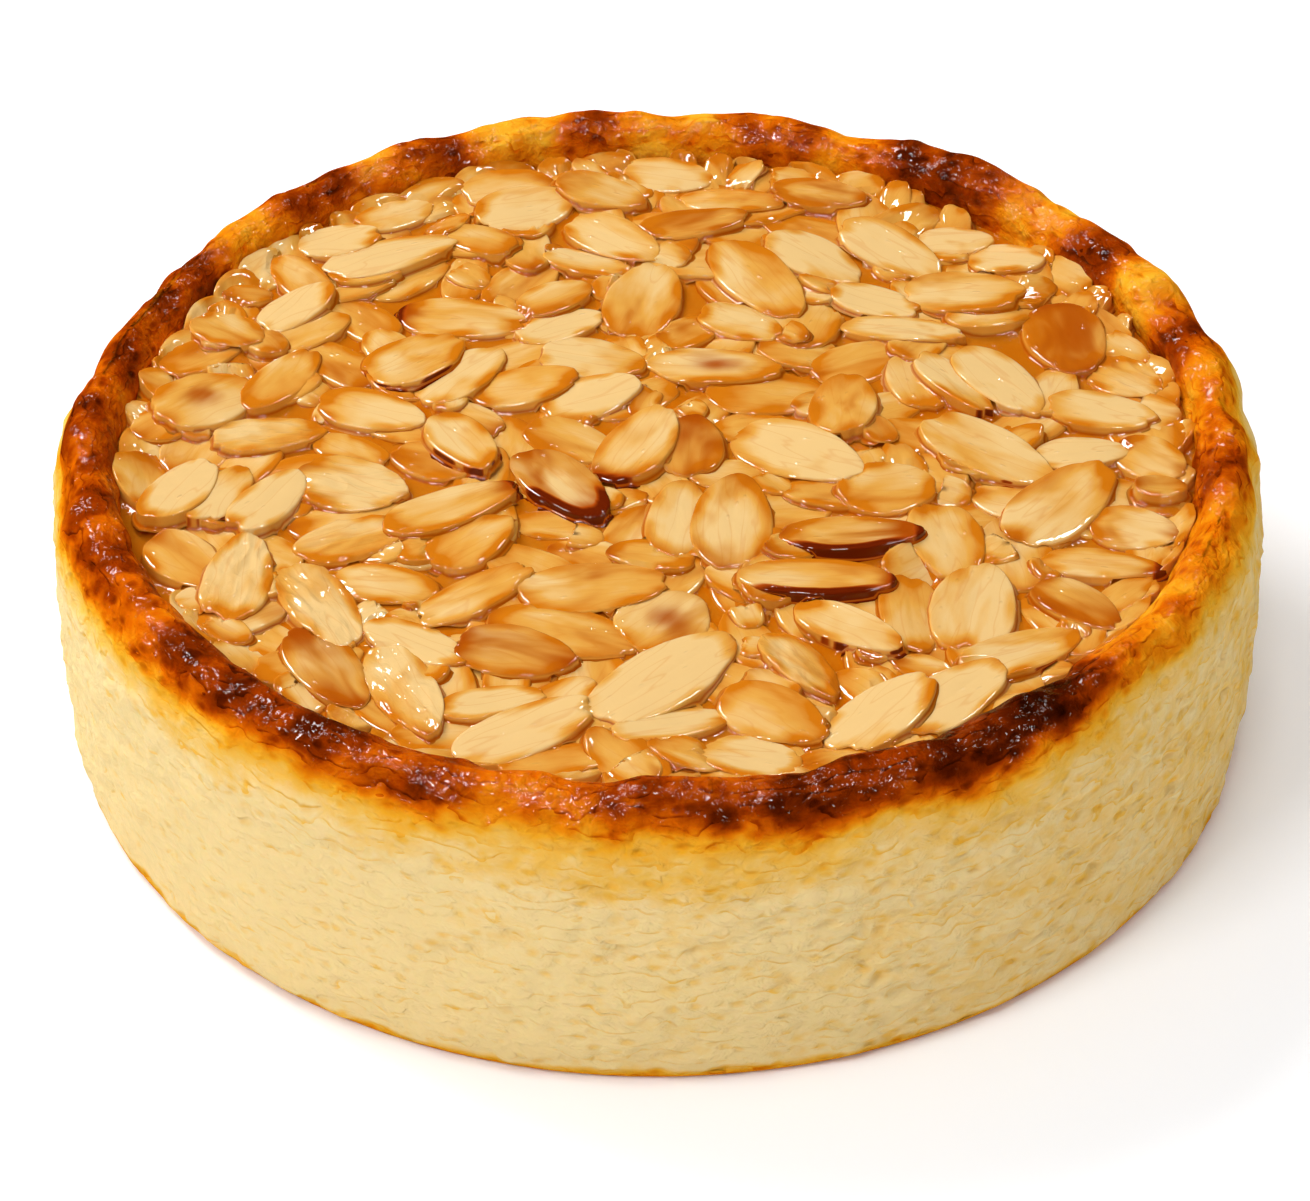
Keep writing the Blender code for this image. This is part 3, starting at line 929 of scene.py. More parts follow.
class Look(Enum):
    """What a slice looks like. Its letter stands for it in the table of slices and sets its seed."""

    PALE = "P"
    GOLDEN = "G"
    TOASTED = "T"
    STAINED = "S"
    SKINNED = "K"
    TIPPED = "E"
    TAILED = "A"
    DARK = "D"
    CRUMPLED = "C"
    SMALL = "F"
    BROKEN = "B"
    LEANING = "L"


@dataclass(frozen=True)
class LookSizes:
    """How strongly a look shows: each share from 0 to 1, and heights in millimetres."""

    tone: float = 0.2
    toast: float = 0.15
    ends: float = 0.25
    middle: float = 0.0
    tip: float = 0.0
    skin: float = 0.0
    thickness: float = 1.0
    lift_mm: float = 0.0
    ripple_mm: float = 0.10
    crumple_mm: float = 0.0
    glaze_mm: float = 0.12
    glaze_run_mm: float = 2.4


LOOKS: dict[Look, LookSizes] = {
    Look.PALE: LookSizes(tone=0.05, toast=0.0, ends=0.2),
    Look.GOLDEN: LookSizes(tone=0.4, toast=0.18, ends=0.35),
    Look.TOASTED: LookSizes(tone=0.6, toast=0.5, ends=0.5),
    Look.STAINED: LookSizes(tone=0.35, toast=0.1, ends=0.3, middle=0.55),
    Look.SKINNED: LookSizes(tone=0.25, toast=0.1, ends=0.3, skin=0.8, thickness=1.2, lift_mm=0.3),
    Look.TIPPED: LookSizes(tone=0.3, toast=0.1, ends=0.2, tip=1.0, skin=0.25, thickness=1.1),
    Look.TAILED: LookSizes(tone=0.3, toast=0.1, ends=0.2, tip=-1.0, skin=0.25, thickness=1.1),
    Look.DARK: LookSizes(tone=0.4, toast=0.3, ends=0.4, tip=1.0, skin=1.0, thickness=1.35, lift_mm=0.6),
    Look.CRUMPLED: LookSizes(tone=0.3, toast=0.15, ends=0.3, crumple_mm=0.28, glaze_mm=0.2, glaze_run_mm=1.3),
    Look.SMALL: LookSizes(tone=0.5, toast=0.2, ends=0.4),
    Look.BROKEN: LookSizes(tone=0.4, toast=0.15, ends=0.3),
    Look.LEANING: LookSizes(tone=0.5, toast=0.2, ends=0.35),
}


@dataclass
class Slice:
    """One slice of almond: its middle and size in metres, heading in radians, how it lies and its tone."""

    x: float
    y: float
    length: float
    width: float
    heading: float
    look: Look = Look.SMALL
    top: float = 0.0
    slope_along: float = 0.0
    slope_across: float = 0.0
    tone: float = 0.0

    def local(self, east: np.ndarray, north: np.ndarray) -> tuple[np.ndarray, np.ndarray]:
        """Turns places on the tart into places along and across the slice.

        Args:
            east: x in metres.
            north: y in metres.

        Returns:
            The distances along and across, in metres.
        """
        along = (east - self.x) * cos(self.heading) + (north - self.y) * sin(self.heading)
        across = (north - self.y) * cos(self.heading) - (east - self.x) * sin(self.heading)
        return along, across

    def placed(self, along: np.ndarray, across: np.ndarray) -> tuple[np.ndarray, np.ndarray]:
        """Turns places along and across the slice into x and y.

        Args:
            along: distances along in metres.
            across: distances across in metres.

        Returns:
            The x and the y, in metres.
        """
        east = self.x + along * cos(self.heading) - across * sin(self.heading)
        return east, self.y + along * sin(self.heading) + across * cos(self.heading)

    def cover(self, east: np.ndarray, north: np.ndarray) -> tuple[np.ndarray, np.ndarray]:
        """Where the slice lies over places on the tart, and how high.

        Args:
            east: x in metres.
            north: y in metres.

        Returns:
            Whether each place lies under the slice, and the height of the slice's plane there in metres.
        """
        along, across = self.local(east, north)
        inside = np.hypot(along / self.length, across / self.width) < 0.5
        return inside, self.top + along * self.slope_along + across * self.slope_across


@dataclass
class SliceLayout:
    """Where every slice lies: those that stand out, listed one by one, and small ones spread between and under
    them.
    """

    sizes: TartSizes
    bed_level: float = 43.5 * MM
    bed_bump: float = 0.5 * MM
    bed_bump_length: float = 11.0 * MM
    bed_bank: float = 1.0 * MM
    bed_bank_width: float = 10.0 * MM
    reach: float = 78.8 * MM
    thickness: float = 1.15 * MM
    sink: float = 0.45 * MM
    steepest: float = 0.42
    resting_share: float = 85
    grid_step: float = 1.0 * MM
    fill_count: int = 215
    fill_seed: int = 11
    fill_lengths: tuple[float, float, float] = (11 * MM, 20 * MM, 16 * MM)
    fill_width_shares: tuple[float, float] = (0.46, 0.66)
    hidden_share: float = 0.8
    crumb_count: int = 170
    crumb_seed: int = 23
    crumb_lengths: tuple[float, float] = (7 * MM, 14 * MM)
    crumb_sink: float = 0.25 * MM
    leaning_count: int = 70
    leaning_reach: float = 80.6 * MM
    leaning_edge: float = 46.9 * MM
    leaning_slopes: tuple[float, float] = (0.22, 0.42)
    overlap: float = 0.4 * MM
    most_bend: float = 0.7 * MM
    settling: float = 0.35 * MM
    most_settling: int = 6
    # The slices that stand out, lowest first: x, y, length and width in millimetres, heading in degrees and
    # look.
    standouts: tuple[tuple[float, float, float, float, float, str], ...] = (
        (-10, 22, 17, 12, -16, "P"), (-43, 9, 18, 9, -22, "G"), (-68, 11, 18, 13, 46, "S"),
        (-57, 17, 18, 8, 58, "G"), (38, 30, 20, 7, -11, "P"), (25, 50, 18, 10, -38, "P"),
        (12, 67, 17, 9, -12, "G"), (6, 59, 18, 8, 15, "T"), (-13, -45, 22, 11, -14, "G"),
        (2, -65, 18, 7, 20, "P"), (13, -72, 14, 10, -15, "P"), (-69, -29, 15, 9, -43, "G"),
        (36, -41, 18, 9, -88, "G"), (34, -11, 15, 12, 14, "G"), (42, -24, 18, 11, -80, "G"),
        (45, 15, 19, 7, -58, "K"), (1, -42, 15, 13, 50, "S"), (-23, -61, 16, 7, 17, "P"),
        (-15, 32, 15, 8, 28, "P"), (-39, -33, 16, 9, -13, "G"), (-34, -47, 18, 8, -37, "P"),
        (-27, -24, 15, 10, 39, "G"), (57, 51, 12, 9, -17, "P"), (72, 18, 13, 9, -40, "C"),
        (27, -45, 18, 7, -36, "K"), (-42, 62, 14, 7, 28, "P"), (-56, 36, 15, 8, 45, "P"),
        (5, 0, 15, 10, 88, "T"), (74, -4, 13, 9, -50, "G"), (47, 55, 13, 8, 0, "P"),
        (63, -2, 15, 8, 8, "P"), (13, 32, 15, 9, -35, "G"), (-10, 12, 16, 9, 18, "P"),
        (34, 38, 15, 8, -24, "P"), (71, -21, 13, 9, -16, "G"), (-11, 49, 15, 7, -22, "P"),
        (-16, 39, 14, 8, 35, "G"), (-64, -13, 17, 8, 70, "K"), (-21, 64, 17, 11, 22, "P"),
        (-42, 50, 23, 10, 26, "K"), (-51, 55, 14, 8, 15, "P"), (-20, 15, 17, 9, 12, "G"),
        (-30, 18, 18, 10, 50, "P"), (-37, 22, 18, 12, 42, "K"), (-30, 34, 21, 10, -6, "A"),
        (-67, 30, 13, 10, -40, "G"), (-58, 3, 18, 9, 15, "C"), (-45, -10, 17, 13, -15, "C"),
        (-70, -12, 19, 10, 70, "P"), (-57, -15, 17, 8, 58, "P"), (-13, 2, 15, 10, -30, "G"),
        (-29, 0, 17, 9, -62, "K"), (-3, 0, 20, 11, 66, "A"), (-2, 39, 20, 12, 76, "G"),
        (-7, 55, 18, 9, -38, "P"), (-9, 69, 15, 10, -18, "G"), (2, 75, 15, 8, -8, "P"),
        (26, 68, 16, 9, -14, "T"), (16, 43, 23, 11, -60, "G"), (37, 52, 19, 9, -38, "P"),
        (48, 40, 20, 12, -10, "G"), (63, 28, 19, 12, -78, "T"), (9, 20, 21, 9, -6, "S"),
        (21, -2, 22, 12, -32, "P"), (28, 10, 18, 10, 84, "G"), (52, 16, 20, 10, -58, "P"),
        (49, -2, 23, 11, -38, "K"), (67, 8, 17, 9, -18, "P"), (59, -15, 23, 12, 50, "G"),
        (65, -29, 18, 7, -10, "E"), (62, -40, 16, 9, -50, "T"), (3, -18, 20, 9, 84, "G"),
        (11, -19, 24, 12, 86, "G"), (45, -39, 21, 12, 76, "P"), (51, -50, 20, 9, 30, "K"),
        (41, -60, 20, 10, 44, "P"), (31, -63, 20, 11, 46, "P"), (20, -52, 17, 8, -58, "C"),
        (16, -63, 17, 10, -33, "G"), (-46, -53, 19, 10, -60, "T"), (-35, -58, 23, 9, -68, "C"),
        (-26, -36, 20, 8, 34, "G"), (-9, -35, 22, 11, 8, "G"), (-44, -23, 18, 9, 20, "C"),
        (-60, -33, 21, 10, 84, "C"), (-48, -38, 22, 10, -64, "C"), (-20, -50, 18, 10, -14, "T"),
        (23, -34, 23, 9, -4, "D"), (28, -23, 21, 10, 0, "D"), (-14, -10, 21, 10, -54, "D"),
        (-30, -16, 22, 10, 30, "E"), (-18, -67, 23, 10, 32, "P"), (1, -55, 27, 12, 44, "P"),
    )
    slices: list[Slice] = field(default_factory=list)

    def bed_height(self, x: float, y: float) -> float:
        """The top of the caramel bed before the slices go on it.

        Args:
            x: in metres.
            y: in metres.

        Returns:
            The height in metres.
        """
        edge = self.sizes.recess_radius
        bank = float(smooth_step(edge - self.bed_bank_width, edge, hypot(x, y)))
        bump = noise.noise(Vector((x, y, 0)) / self.bed_bump_length)
        return self.bed_level + self.bed_bank * bank + self.bed_bump * bump

    def held_inside(self, piece: Slice) -> Slice:
        """Pulls a slice in along its radius until it stays clear of the rim.

        Args:
            piece: the slice, which is moved.

        Returns:
            The same slice.
        """
        radius = hypot(piece.x, piece.y)
        turn = piece.heading - atan2(piece.y, piece.x)
        reach = hypot(piece.length / 2 * cos(turn), piece.width / 2 * sin(turn))
        if radius + reach > self.reach:
            share = (self.reach - reach) / radius
            piece.x *= share
            piece.y *= share
        return piece

    def standing_out(self) -> list[Slice]:
        """The listed slices that stand out."""
        return [
            self.held_inside(Slice(x * MM, y * MM, length * MM, width * MM, radians(heading), Look(look)))
            for x, y, length, width, heading, look in self.standouts
        ]

    def filling(self, standing_out: list[Slice]) -> list[Slice]:
        """Small slices on a golden-angle spiral, left out where one that stands out hides them.

        Args:
            standing_out: the listed slices that stand out.

        Returns:
            The small slices.
        """
        draw = random.Random(self.fill_seed)
        golden_angle = pi * (3 - sqrt(5))
        found = []
        for number in range(self.fill_count):
            radius = self.reach * sqrt((number + 0.5) / self.fill_count)
            azimuth = number * golden_angle
            length = draw.triangular(*self.fill_lengths)
            width = length * draw.uniform(*self.fill_width_shares)
            heading = draw.uniform(0, pi)
            x, y = radius * cos(azimuth), radius * sin(azimuth)
            hidden = False
            for piece in standing_out:
                along, across = piece.local(x, y)
                hidden = hidden or hypot(along / piece.length, across / piece.width) < self.hidden_share / 2
            if not hidden:
                found.append(self.held_inside(Slice(x, y, length, width, heading)))
        return found

    def rest(self, piece: Slice, east: np.ndarray, north: np.ndarray, surface: np.ndarray) -> None:
        """Rests one slice on what lies under it, and adds it to the surface.

        Args:
            piece: the slice, whose height and slopes are set.
            east: the grid's x.
            north: the grid's y.
            surface: the grid's heights, which are raised under the slice.
        """
        along, across = piece.local(east, north)
        under = np.hypot(along / piece.length, across / piece.width) < 0.5
        columns = np.stack([np.ones(under.sum()), along[under], across[under]], axis=1)
        level, slope_along, slope_across = np.linalg.lstsq(columns, surface[under], rcond=None)[0]
        piece.slope_along = float(np.clip(slope_along, -self.steepest, self.steepest))
        piece.slope_across = float(np.clip(slope_across, -self.steepest, self.steepest))
        plane = columns @ (level, piece.slope_along, piece.slope_across)
        lift = np.percentile(surface[under] - plane, self.resting_share) + self.thickness - self.sink
        piece.top = float(level + lift)
        surface[under] = np.maximum(surface[under], plane + lift)

    def grid(self, step: float) -> tuple[np.ndarray, np.ndarray]:
        """A square grid of places over the recess.

        Args:
            step: in metres.

        Returns:
            The x and the y of each cell.
        """
        count = round(self.sizes.recess_radius / step)
        line = np.arange(-count, count + 1) * step
        return np.meshgrid(line, line)

    def crumbs(self) -> list[Slice]:
        """Broken and small slices that fill the gaps low down.

        Returns:
            The pieces, not yet laid.
        """
        draw = random.Random(self.crumb_seed)
        found = []
        for _ in range(self.crumb_count):
            radius, azimuth = self.reach * sqrt(draw.random()), draw.uniform(0, FULL_TURN)
            length = draw.uniform(*self.crumb_lengths)
            width = length * draw.uniform(0.5, 0.7)
            look = draw.choice((Look.SMALL, Look.BROKEN))
            place = (radius * cos(azimuth), radius * sin(azimuth))
            found.append(self.held_inside(Slice(*place, length, width, draw.uniform(0, pi), look)))
        return found

    def leaning(self) -> list[Slice]:
        """Slices that lean on the rim's inner slope, all the way round.

        Returns:
            The slices, laid.
        """
        draw = random.Random(self.crumb_seed + 1)
        found = []
        for number in range(self.leaning_count):
            azimuth = FULL_TURN * (number + draw.uniform(-0.3, 0.3)) / self.leaning_count
            length, width = draw.uniform(10, 15) * MM, draw.uniform(7, 9) * MM
            turn = draw.choice((draw.uniform(-0.5, 0.5), pi / 2 + draw.uniform(-0.5, 0.5)))
            steep = draw.uniform(*self.leaning_slopes)
            reach = hypot(length / 2 * cos(turn), width / 2 * sin(turn))
            radius = self.leaning_reach - reach + draw.uniform(-0.8, 0.3) * MM
            top = self.leaning_edge + draw.uniform(-0.5, 0.3) * MM - reach * steep
            found.append(
                Slice(
                    radius * cos(azimuth), radius * sin(azimuth), length, width, azimuth + turn, Look.LEANING,
                    top, steep * cos(turn), -steep * sin(turn),
                )
            )
        return found

    def lay(self) -> list[Slice]:
        """Lays all slices, lowest first.

        Returns:
            The slices, with how each comes to lie.
        """
        east, north = self.grid(self.grid_step)
        surface = np.array([[self.bed_height(x, y) for x in east[0]] for y in north[:, 0]])
        standing_out = self.standing_out()
        filling, crumbs = self.filling(standing_out), self.crumbs()
        for piece in filling:
            self.rest(piece, east, north, surface)
        low = surface.copy()
        for piece in standing_out:
            self.rest(piece, east, north, surface)
        for piece in crumbs:
            self.rest(piece, east, north, low)
            piece.top -= self.crumb_sink
        laid = self.leaning() + filling + crumbs + standing_out
        for place, piece in enumerate(laid):
            for _ in range(self.most_settling):
                if not self.buried(piece, laid[place + 1 :]):
                    break
                piece.top -= self.settling
        self.slices = [piece for place, piece in enumerate(laid) if not self.buried(piece, laid[place + 1 :])]
        draw = random.Random(self.crumb_seed + 2)
        for piece in self.slices:
            piece.tone = LOOKS[piece.look].tone + draw.uniform(-0.14, 0.14)
            piece.top += LOOKS[piece.look].lift_mm * MM
        return self.slices

    def buried(self, piece: Slice, others: list[Slice]) -> bool:
        """Whether a slice would have to bend down steeply to pass under others.

        Args:
            piece: the slice.
            others: those laid over it.

        Returns:
            True where its top would lie far above theirs.
        """
        ring = FULL_TURN * np.arange(24) / 24
        share = np.repeat([0.3, 0.6, 0.9], len(ring))
        u = piece.length / 2 * share * np.tile(np.cos(ring), 3)
        v = piece.width / 2 * share * np.tile(np.sin(ring), 3)
        east, north = piece.placed(u, v)
        level = piece.top + u * piece.slope_along + v * piece.slope_across
        deepest = 0.0
        for other in others:
            under, over = other.cover(east, north)
            deepest = max(deepest, float(np.max((level - over) * under)))
        return deepest > self.most_bend

    def number(self, piece: Slice) -> int:
        """A slice's place in the order that they were laid in."""
        return next(number for number, other in enumerate(self.slices) if other is piece)

    def carried_on(self, piece: Slice, east: np.ndarray, north: np.ndarray) -> np.ndarray:
        """The tops of the slices laid before this one.

        Args:
            piece: the slice.
            east: x of the places to look at.
            north: y of the places.

        Returns:
            The height at each place, in metres, or 0 where there is none.
        """
        height = np.zeros_like(east)
        for other in self.slices[: self.number(piece)]:
            if hypot(other.x - piece.x, other.y - piece.y) < (other.length + piece.length) / 2 + 1 * MM:
                under, top = other.cover(east, north)
                height = np.where(under, np.maximum(height - self.overlap, top), height)
        return height

    def ceiling(self, piece: Slice, east: np.ndarray, north: np.ndarray) -> np.ndarray:
        """How high a slice may reach without showing through those laid over it.

        Args:
            piece: the slice.
            east: x of its points.
            north: y of its points.

        Returns:
            The greatest height at each point, in metres.
        """
        limit = np.full_like(east, np.inf)
        place = self.number(piece)
        for other in self.slices[place + 1 :]:
            if hypot(other.x - piece.x, other.y - piece.y) < (other.length + piece.length) / 2:
                under, over = other.cover(east, north)
                limit = np.where(under, np.minimum(limit, over - self.overlap), limit)
        return limit


@dataclass
class SlicedAlmonds:
    """The slices' meshes, one piece for each look."""

    layout: SliceLayout
    pool: "CaramelPool"
    around: int = 72
    small_around: int = 32
    edge_round: float = 0.35 * MM
    seed: int = 5
    inner_rings: tuple[float, ...] = (0.14, 0.29, 0.44, 0.58, 0.71, 0.81, 0.9)
    small_rings: tuple[float, ...] = (0.3, 0.58, 0.8, 0.9)
    crumpled_around: int = 120
    crumpled_rings: tuple[float, ...] = tuple(0.06 * step for step in range(1, 17))
    # The rounded edge: how far in, in edge radii, and how far down, in thicknesses.
    edge_rings: tuple[tuple[float, float], ...] = ((1.4, 0.0), (0.6, 0.04), (0.15, 0.13), (0.0, 0.27))
    # The fillet of glaze at the foot: how far out and up, in shares of its reach and rise, and how wet.
    fillet_rings: tuple[tuple[float, float, float], ...] = (
        (0.02, 1.0, 0.05), (0.09, 0.62, 0.45), (0.24, 0.33, 0.95), (0.5, 0.08, 0.6), (1.0, -0.12, 0.3),
    )
    fillet_reach: float = 1.0 * MM
    fillet_rise: float = 0.7 * MM
    fillet_most_drop: float = 2.2 * MM
    # The least drop at the foot is a share of the thickness.
    least_drop: float = 0.3
    glaze_room: tuple[float, float] = (0.3 * MM, 1.1 * MM)
    thickness_spread: tuple[float, float] = (0.9, 1.1)
    bends_along_mm: tuple[float, float] = (-0.45, 0.25)
    bends_across_mm: tuple[float, float] = (-0.3, 0.15)
    twists_mm: tuple[float, float] = (-0.25, 0.25)
    ripple_run: float = 3.6 * MM
    crumple_run: float = 2.6 * MM
    groove_depth: float = 0.08 * MM
    groove_width: float = 0.5 * MM
    end_fade: float = 1.8 * MM
    tip_fade: float = 2.2 * MM

    def outline(self, piece: Slice, around: int, draw: random.Random) -> tuple[np.ndarray, np.ndarray]:
        """A slice's outline: a wobbly oval with one end a little narrower, and blunt or nicked ends.

        Args:
            piece: the slice.
            around: how many points.
            draw: the seeded source of chance.

        Returns:
            The distances along and across of each point, in metres.
        """
        turns = FULL_TURN * (np.arange(around) + 0.5) / around
        shift = draw.uniform(0, 90)
        ring = np.column_stack([np.cos(turns), np.sin(turns), np.full(around, shift)])
        nibbles = lumpy(ring * np.array([6.0, 6.0, 1.0]), 1.0)
        size = 1 + 0.05 * lumpy(ring * np.array([1.6, 1.6, 1.0]), 1.0) + 0.018 * nibbles
        for end in (0.0, pi):
            # Each end is pointed, or was broken blunt with a nick beside the break.
            blunt = draw.choice((-0.04, 0.03, 0.07, 0.12))
            away = wrapped(turns - end - draw.uniform(-0.3, 0.3), FULL_TURN)
            size -= blunt * bell(away / draw.uniform(0.16, 0.3))
            nick = wrapped(turns - end - draw.choice((-0.45, 0.4, 0.6)), FULL_TURN)
            size -= draw.choice((0.0, 0.03, 0.06)) * bell(nick / 0.07)
        along = piece.length / 2 * np.cos(turns) * size
        across = piece.width / 2 * np.sin(turns) * (1 - 0.15 * np.cos(turns)) * size
        if piece.look is Look.BROKEN:
            snapped = piece.length / 2 * draw.uniform(-0.1, 0.6)
            jag = 0.5 * MM * nibbles
            along = np.minimum(along, snapped + jag)
        return along, across

    def slice_points(
        self, piece: Slice, draw: random.Random
    ) -> tuple[np.ndarray, list[np.ndarray], dict[str, np.ndarray]]:
        """Builds one slice.

        Args:
            piece: the slice, as it lies.
            draw: the seeded source of chance.

        Returns:
            Its points, faces and marks.
        """
        sizes = LOOKS[piece.look]
        small = piece.look in (Look.SMALL, Look.BROKEN, Look.LEANING)
        around = self.small_around if small else self.around
        shares = self.small_rings if small else self.inner_rings
        if sizes.crumple_mm:
            around, shares = self.crumpled_around, self.crumpled_rings
        thick = self.layout.thickness * draw.uniform(*self.thickness_spread) * sizes.thickness
        edge_along, edge_across = self.outline(piece, around, draw)
        length = np.hypot(edge_along, edge_across)
        half_length, half_width = piece.length / 2, piece.width / 2
        shift = draw.uniform(0, 900)
        limits = (self.bends_along_mm, self.bends_across_mm, self.twists_mm)
        bend_along, bend_across, twist = (draw.uniform(low, high) * MM for low, high in limits)

        def top_height(u: np.ndarray, v: np.ndarray) -> np.ndarray:
            """The slice's bent and rippled top.

            Args:
                u: distances along in metres.
                v: distances across in metres.

            Returns:
                The height at each place, in metres.
            """
            flat = np.column_stack([u, v, np.full_like(u, 0.0)])
            ripples = sizes.ripple_mm * MM * lumpy(flat, self.ripple_run, shift)
            if sizes.crumple_mm:
                stretched = flat * np.array([0.6, 1.3, 1.0])
                folds = np.abs(lumpy(stretched, self.crumple_run, shift))
                ripples += sizes.crumple_mm * MM * (0.4 - folds * 2)
            bent = bend_along * ((u / half_length) ** 2 - 0.3) + bend_across * ((v / half_width) ** 2 - 0.3)
            bent += twist * u * v / (half_length * half_width)
            groove = self.groove_depth * bell(v / self.groove_width)
            groove *= 1 - np.clip(np.abs(u) / half_length, 0, 1)
            level = piece.top + u * piece.slope_along + v * piece.slope_across + bent + ripples - groove
            return np.minimum(level, self.layout.ceiling(piece, *piece.placed(u, v)))

        # Each ring's places along and across, its drop below the top, its share of the way out and how wet.
        flat_part = 1 - self.edge_rings[0][0] * self.edge_round / length
        rings = [
            (share * flat_part * edge_along, share * flat_part * edge_across, 0.0, share, 0.0)
            for share in shares
        ]
        for inset, depth in self.edge_rings:
            keep = 1 - inset * self.edge_round / length
            rings.append((keep * edge_along, keep * edge_across, depth * thick, 1.0, 0.0))
        # The glaze draws up the wall from whatever lies round the slice.
        far = 1 + self.fillet_reach / length
        outer = piece.placed(far * edge_along, far * edge_across)
        ground = np.maximum(self.pool.height_at(*outer), self.layout.carried_on(piece, *outer))
        edge_height = top_height(edge_along, edge_across)
        fall = np.clip(edge_height - ground, self.least_drop * thick, self.fillet_most_drop)
        room = smooth_step(*self.glaze_room, fall)
        for out, up, wetness in self.fillet_rings:
            keep = 1 + out * self.fillet_reach * room / length
            drop = np.maximum(fall - up * self.fillet_rise * room, self.least_drop * thick)
            rings.append((keep * edge_along, keep * edge_across, drop, 1.0, wetness))
        # Two middles close the slice, one on top and one underneath.
        middles = ([0.0, 0.0], [0.0, 0.0], [0.0, thick], [0.0, 0.0], [0.0, 0.0])
        u, v, drop, share, wet = (
            np.concatenate([np.broadcast_to(values, around) for values in column] + [ends])
            for column, ends in zip(zip(*rings), middles)
        )
        east, north = piece.placed(u, v)
        # Everything outside the edge hangs from the edge's own height.
        height = top_height(u, v)
        outside = np.arange(len(u)) >= (len(shares) + len(self.edge_rings)) * around
        outside[-2:] = False
        height[outside] = np.tile(edge_height, len(self.fillet_rings))
        height -= drop
        quads = ring_quads(len(rings), around)[:, ::-1]
        first, last = np.arange(around), np.arange(around) + (len(rings) - 1) * around
        top_middle, under_middle = len(rings) * around, len(rings) * around + 1
        fans = [
            np.column_stack([first, np.roll(first, -1), np.full(around, top_middle)]),
            np.column_stack([np.roll(last, -1), last, np.full(around, under_middle)]),
        ]
        marks = self.marks(piece, draw, thick, shift, (u, v, drop, share, wet))
        return np.column_stack([east, north, height]), [quads, *fans], marks

    def marks(
        self, piece: Slice, draw: random.Random, thick: float, shift: float, points: tuple[np.ndarray, ...]
    ) -> dict[str, np.ndarray]:
        """The marks that drive a slice's colours.

        Args:
            piece: the slice.
            draw: the seeded source of chance.
            thick: the slice's thickness in metres.
            shift: moves the slice's noise, so that no two slices are alike.
            points: each point's places along and across and its drop below the top in metres, its share of
                the way out and how wet it is.

        Returns:
            The marks by name, with a value for each point.
        """
        sizes = LOOKS[piece.look]
        u, v, drop, share, wet = points
        half_length, half_width = piece.length / 2, piece.width / 2
        ends = np.exp(-np.clip(half_length - np.abs(u), 0, None) / self.end_fade)
        from_tip = np.clip(half_length - u * np.sign(sizes.tip or 1), 0, None)
        tip = np.exp(-from_tip / self.tip_fade) * abs(sizes.tip)
        middle = np.exp(-((u / (0.45 * half_length)) ** 2) - (v / (0.5 * half_width)) ** 2)
        toast = draw.uniform(0.5, 1.0) * (sizes.toast + sizes.ends * ends) + sizes.middle * middle + 0.9 * tip
        near = -(v * cos(piece.heading) + u * sin(piece.heading)) / (np.hypot(u, v) + 1e-9)
        wall = smooth_step(0.0, self.least_drop * thick, drop)
        skin = sizes.skin * smooth_step(0.15, 0.6, near) * wall
        if sizes.skin == 1:
            # On the darkest slices the skin folds over onto the top.
            fold = 0.9 * smooth_step(0.66, 0.9, share) * smooth_step(0.0, 0.6, near)
            skin = np.maximum(skin, fold)
        else:
            broken = np.column_stack([2.5 * u / half_length, 2.5 * v / half_width, np.full_like(u, shift)])
            skin *= smooth_step(-0.1, 0.25, lumpy(broken, 1.0))
        skin = np.maximum(skin, 0.8 * smooth_step(0.35, 0.75, tip))
        # The glaze gathered to one side, so each slice warms across it.
        lean = draw.uniform(0, FULL_TURN)
        across_slice = (u / half_length * cos(lean) + v / half_width * sin(lean)) / 2
        tone = 0.8 * piece.tone + 0.35 * across_slice + 0.3 * ends
        turn = np.arctan2(v / half_width, u / half_length)
        gathered = np.column_stack([1.3 * np.cos(turn), 1.3 * np.sin(turn), np.full_like(u, shift)])
        gathered = np.clip(0.35 + 1.6 * lumpy(gathered, 1.0), 0, 1)
        tone += 0.6 * gathered * smooth_step(0.62, 1.0, share) - 0.32
        return {
            "tone": np.clip(tone, -0.3, 1),
            "toast": np.clip(toast, 0, 1),
            "skin": np.clip(skin, 0, 1) * (1 - smooth_step(0.6, 0.85, wet)),
            "rim": (0.85 - 0.5 * gathered) * wall * (1 - smooth_step(0.2, 0.8, wet)),
            "foot": wet,
            "grain": np.column_stack([u / MM * 0.45 + shift, v / MM + shift, np.zeros_like(u)]),
        }

    def build(self, look: Look) -> bpy.types.Object:
        """Builds all slices of one look as one piece.

        Args:
            look: which slices.

        Returns:
            The piece, not yet dressed.
        """
        draw = random.Random(self.seed + ord(look.value))
        points, quads, fans, marks, count = [], [], [], {}, 0
        for piece in (one for one in self.layout.slices if one.look is look):
            own_points, own_faces, own_marks = self.slice_points(piece, draw)
            points.append(own_points)
            quads.append(own_faces[0] + count)
            fans.extend(block + count for block in own_faces[1:])
            for mark, values in own_marks.items():
                marks.setdefault(mark, []).append(values)
            count += len(own_points)
        return make_piece(
            "almond_slices_" + look.name.lower(),
            np.concatenate(points),
            [np.concatenate(quads), np.concatenate(fans)],
            {mark: np.concatenate(values) for mark, values in marks.items()},
        )

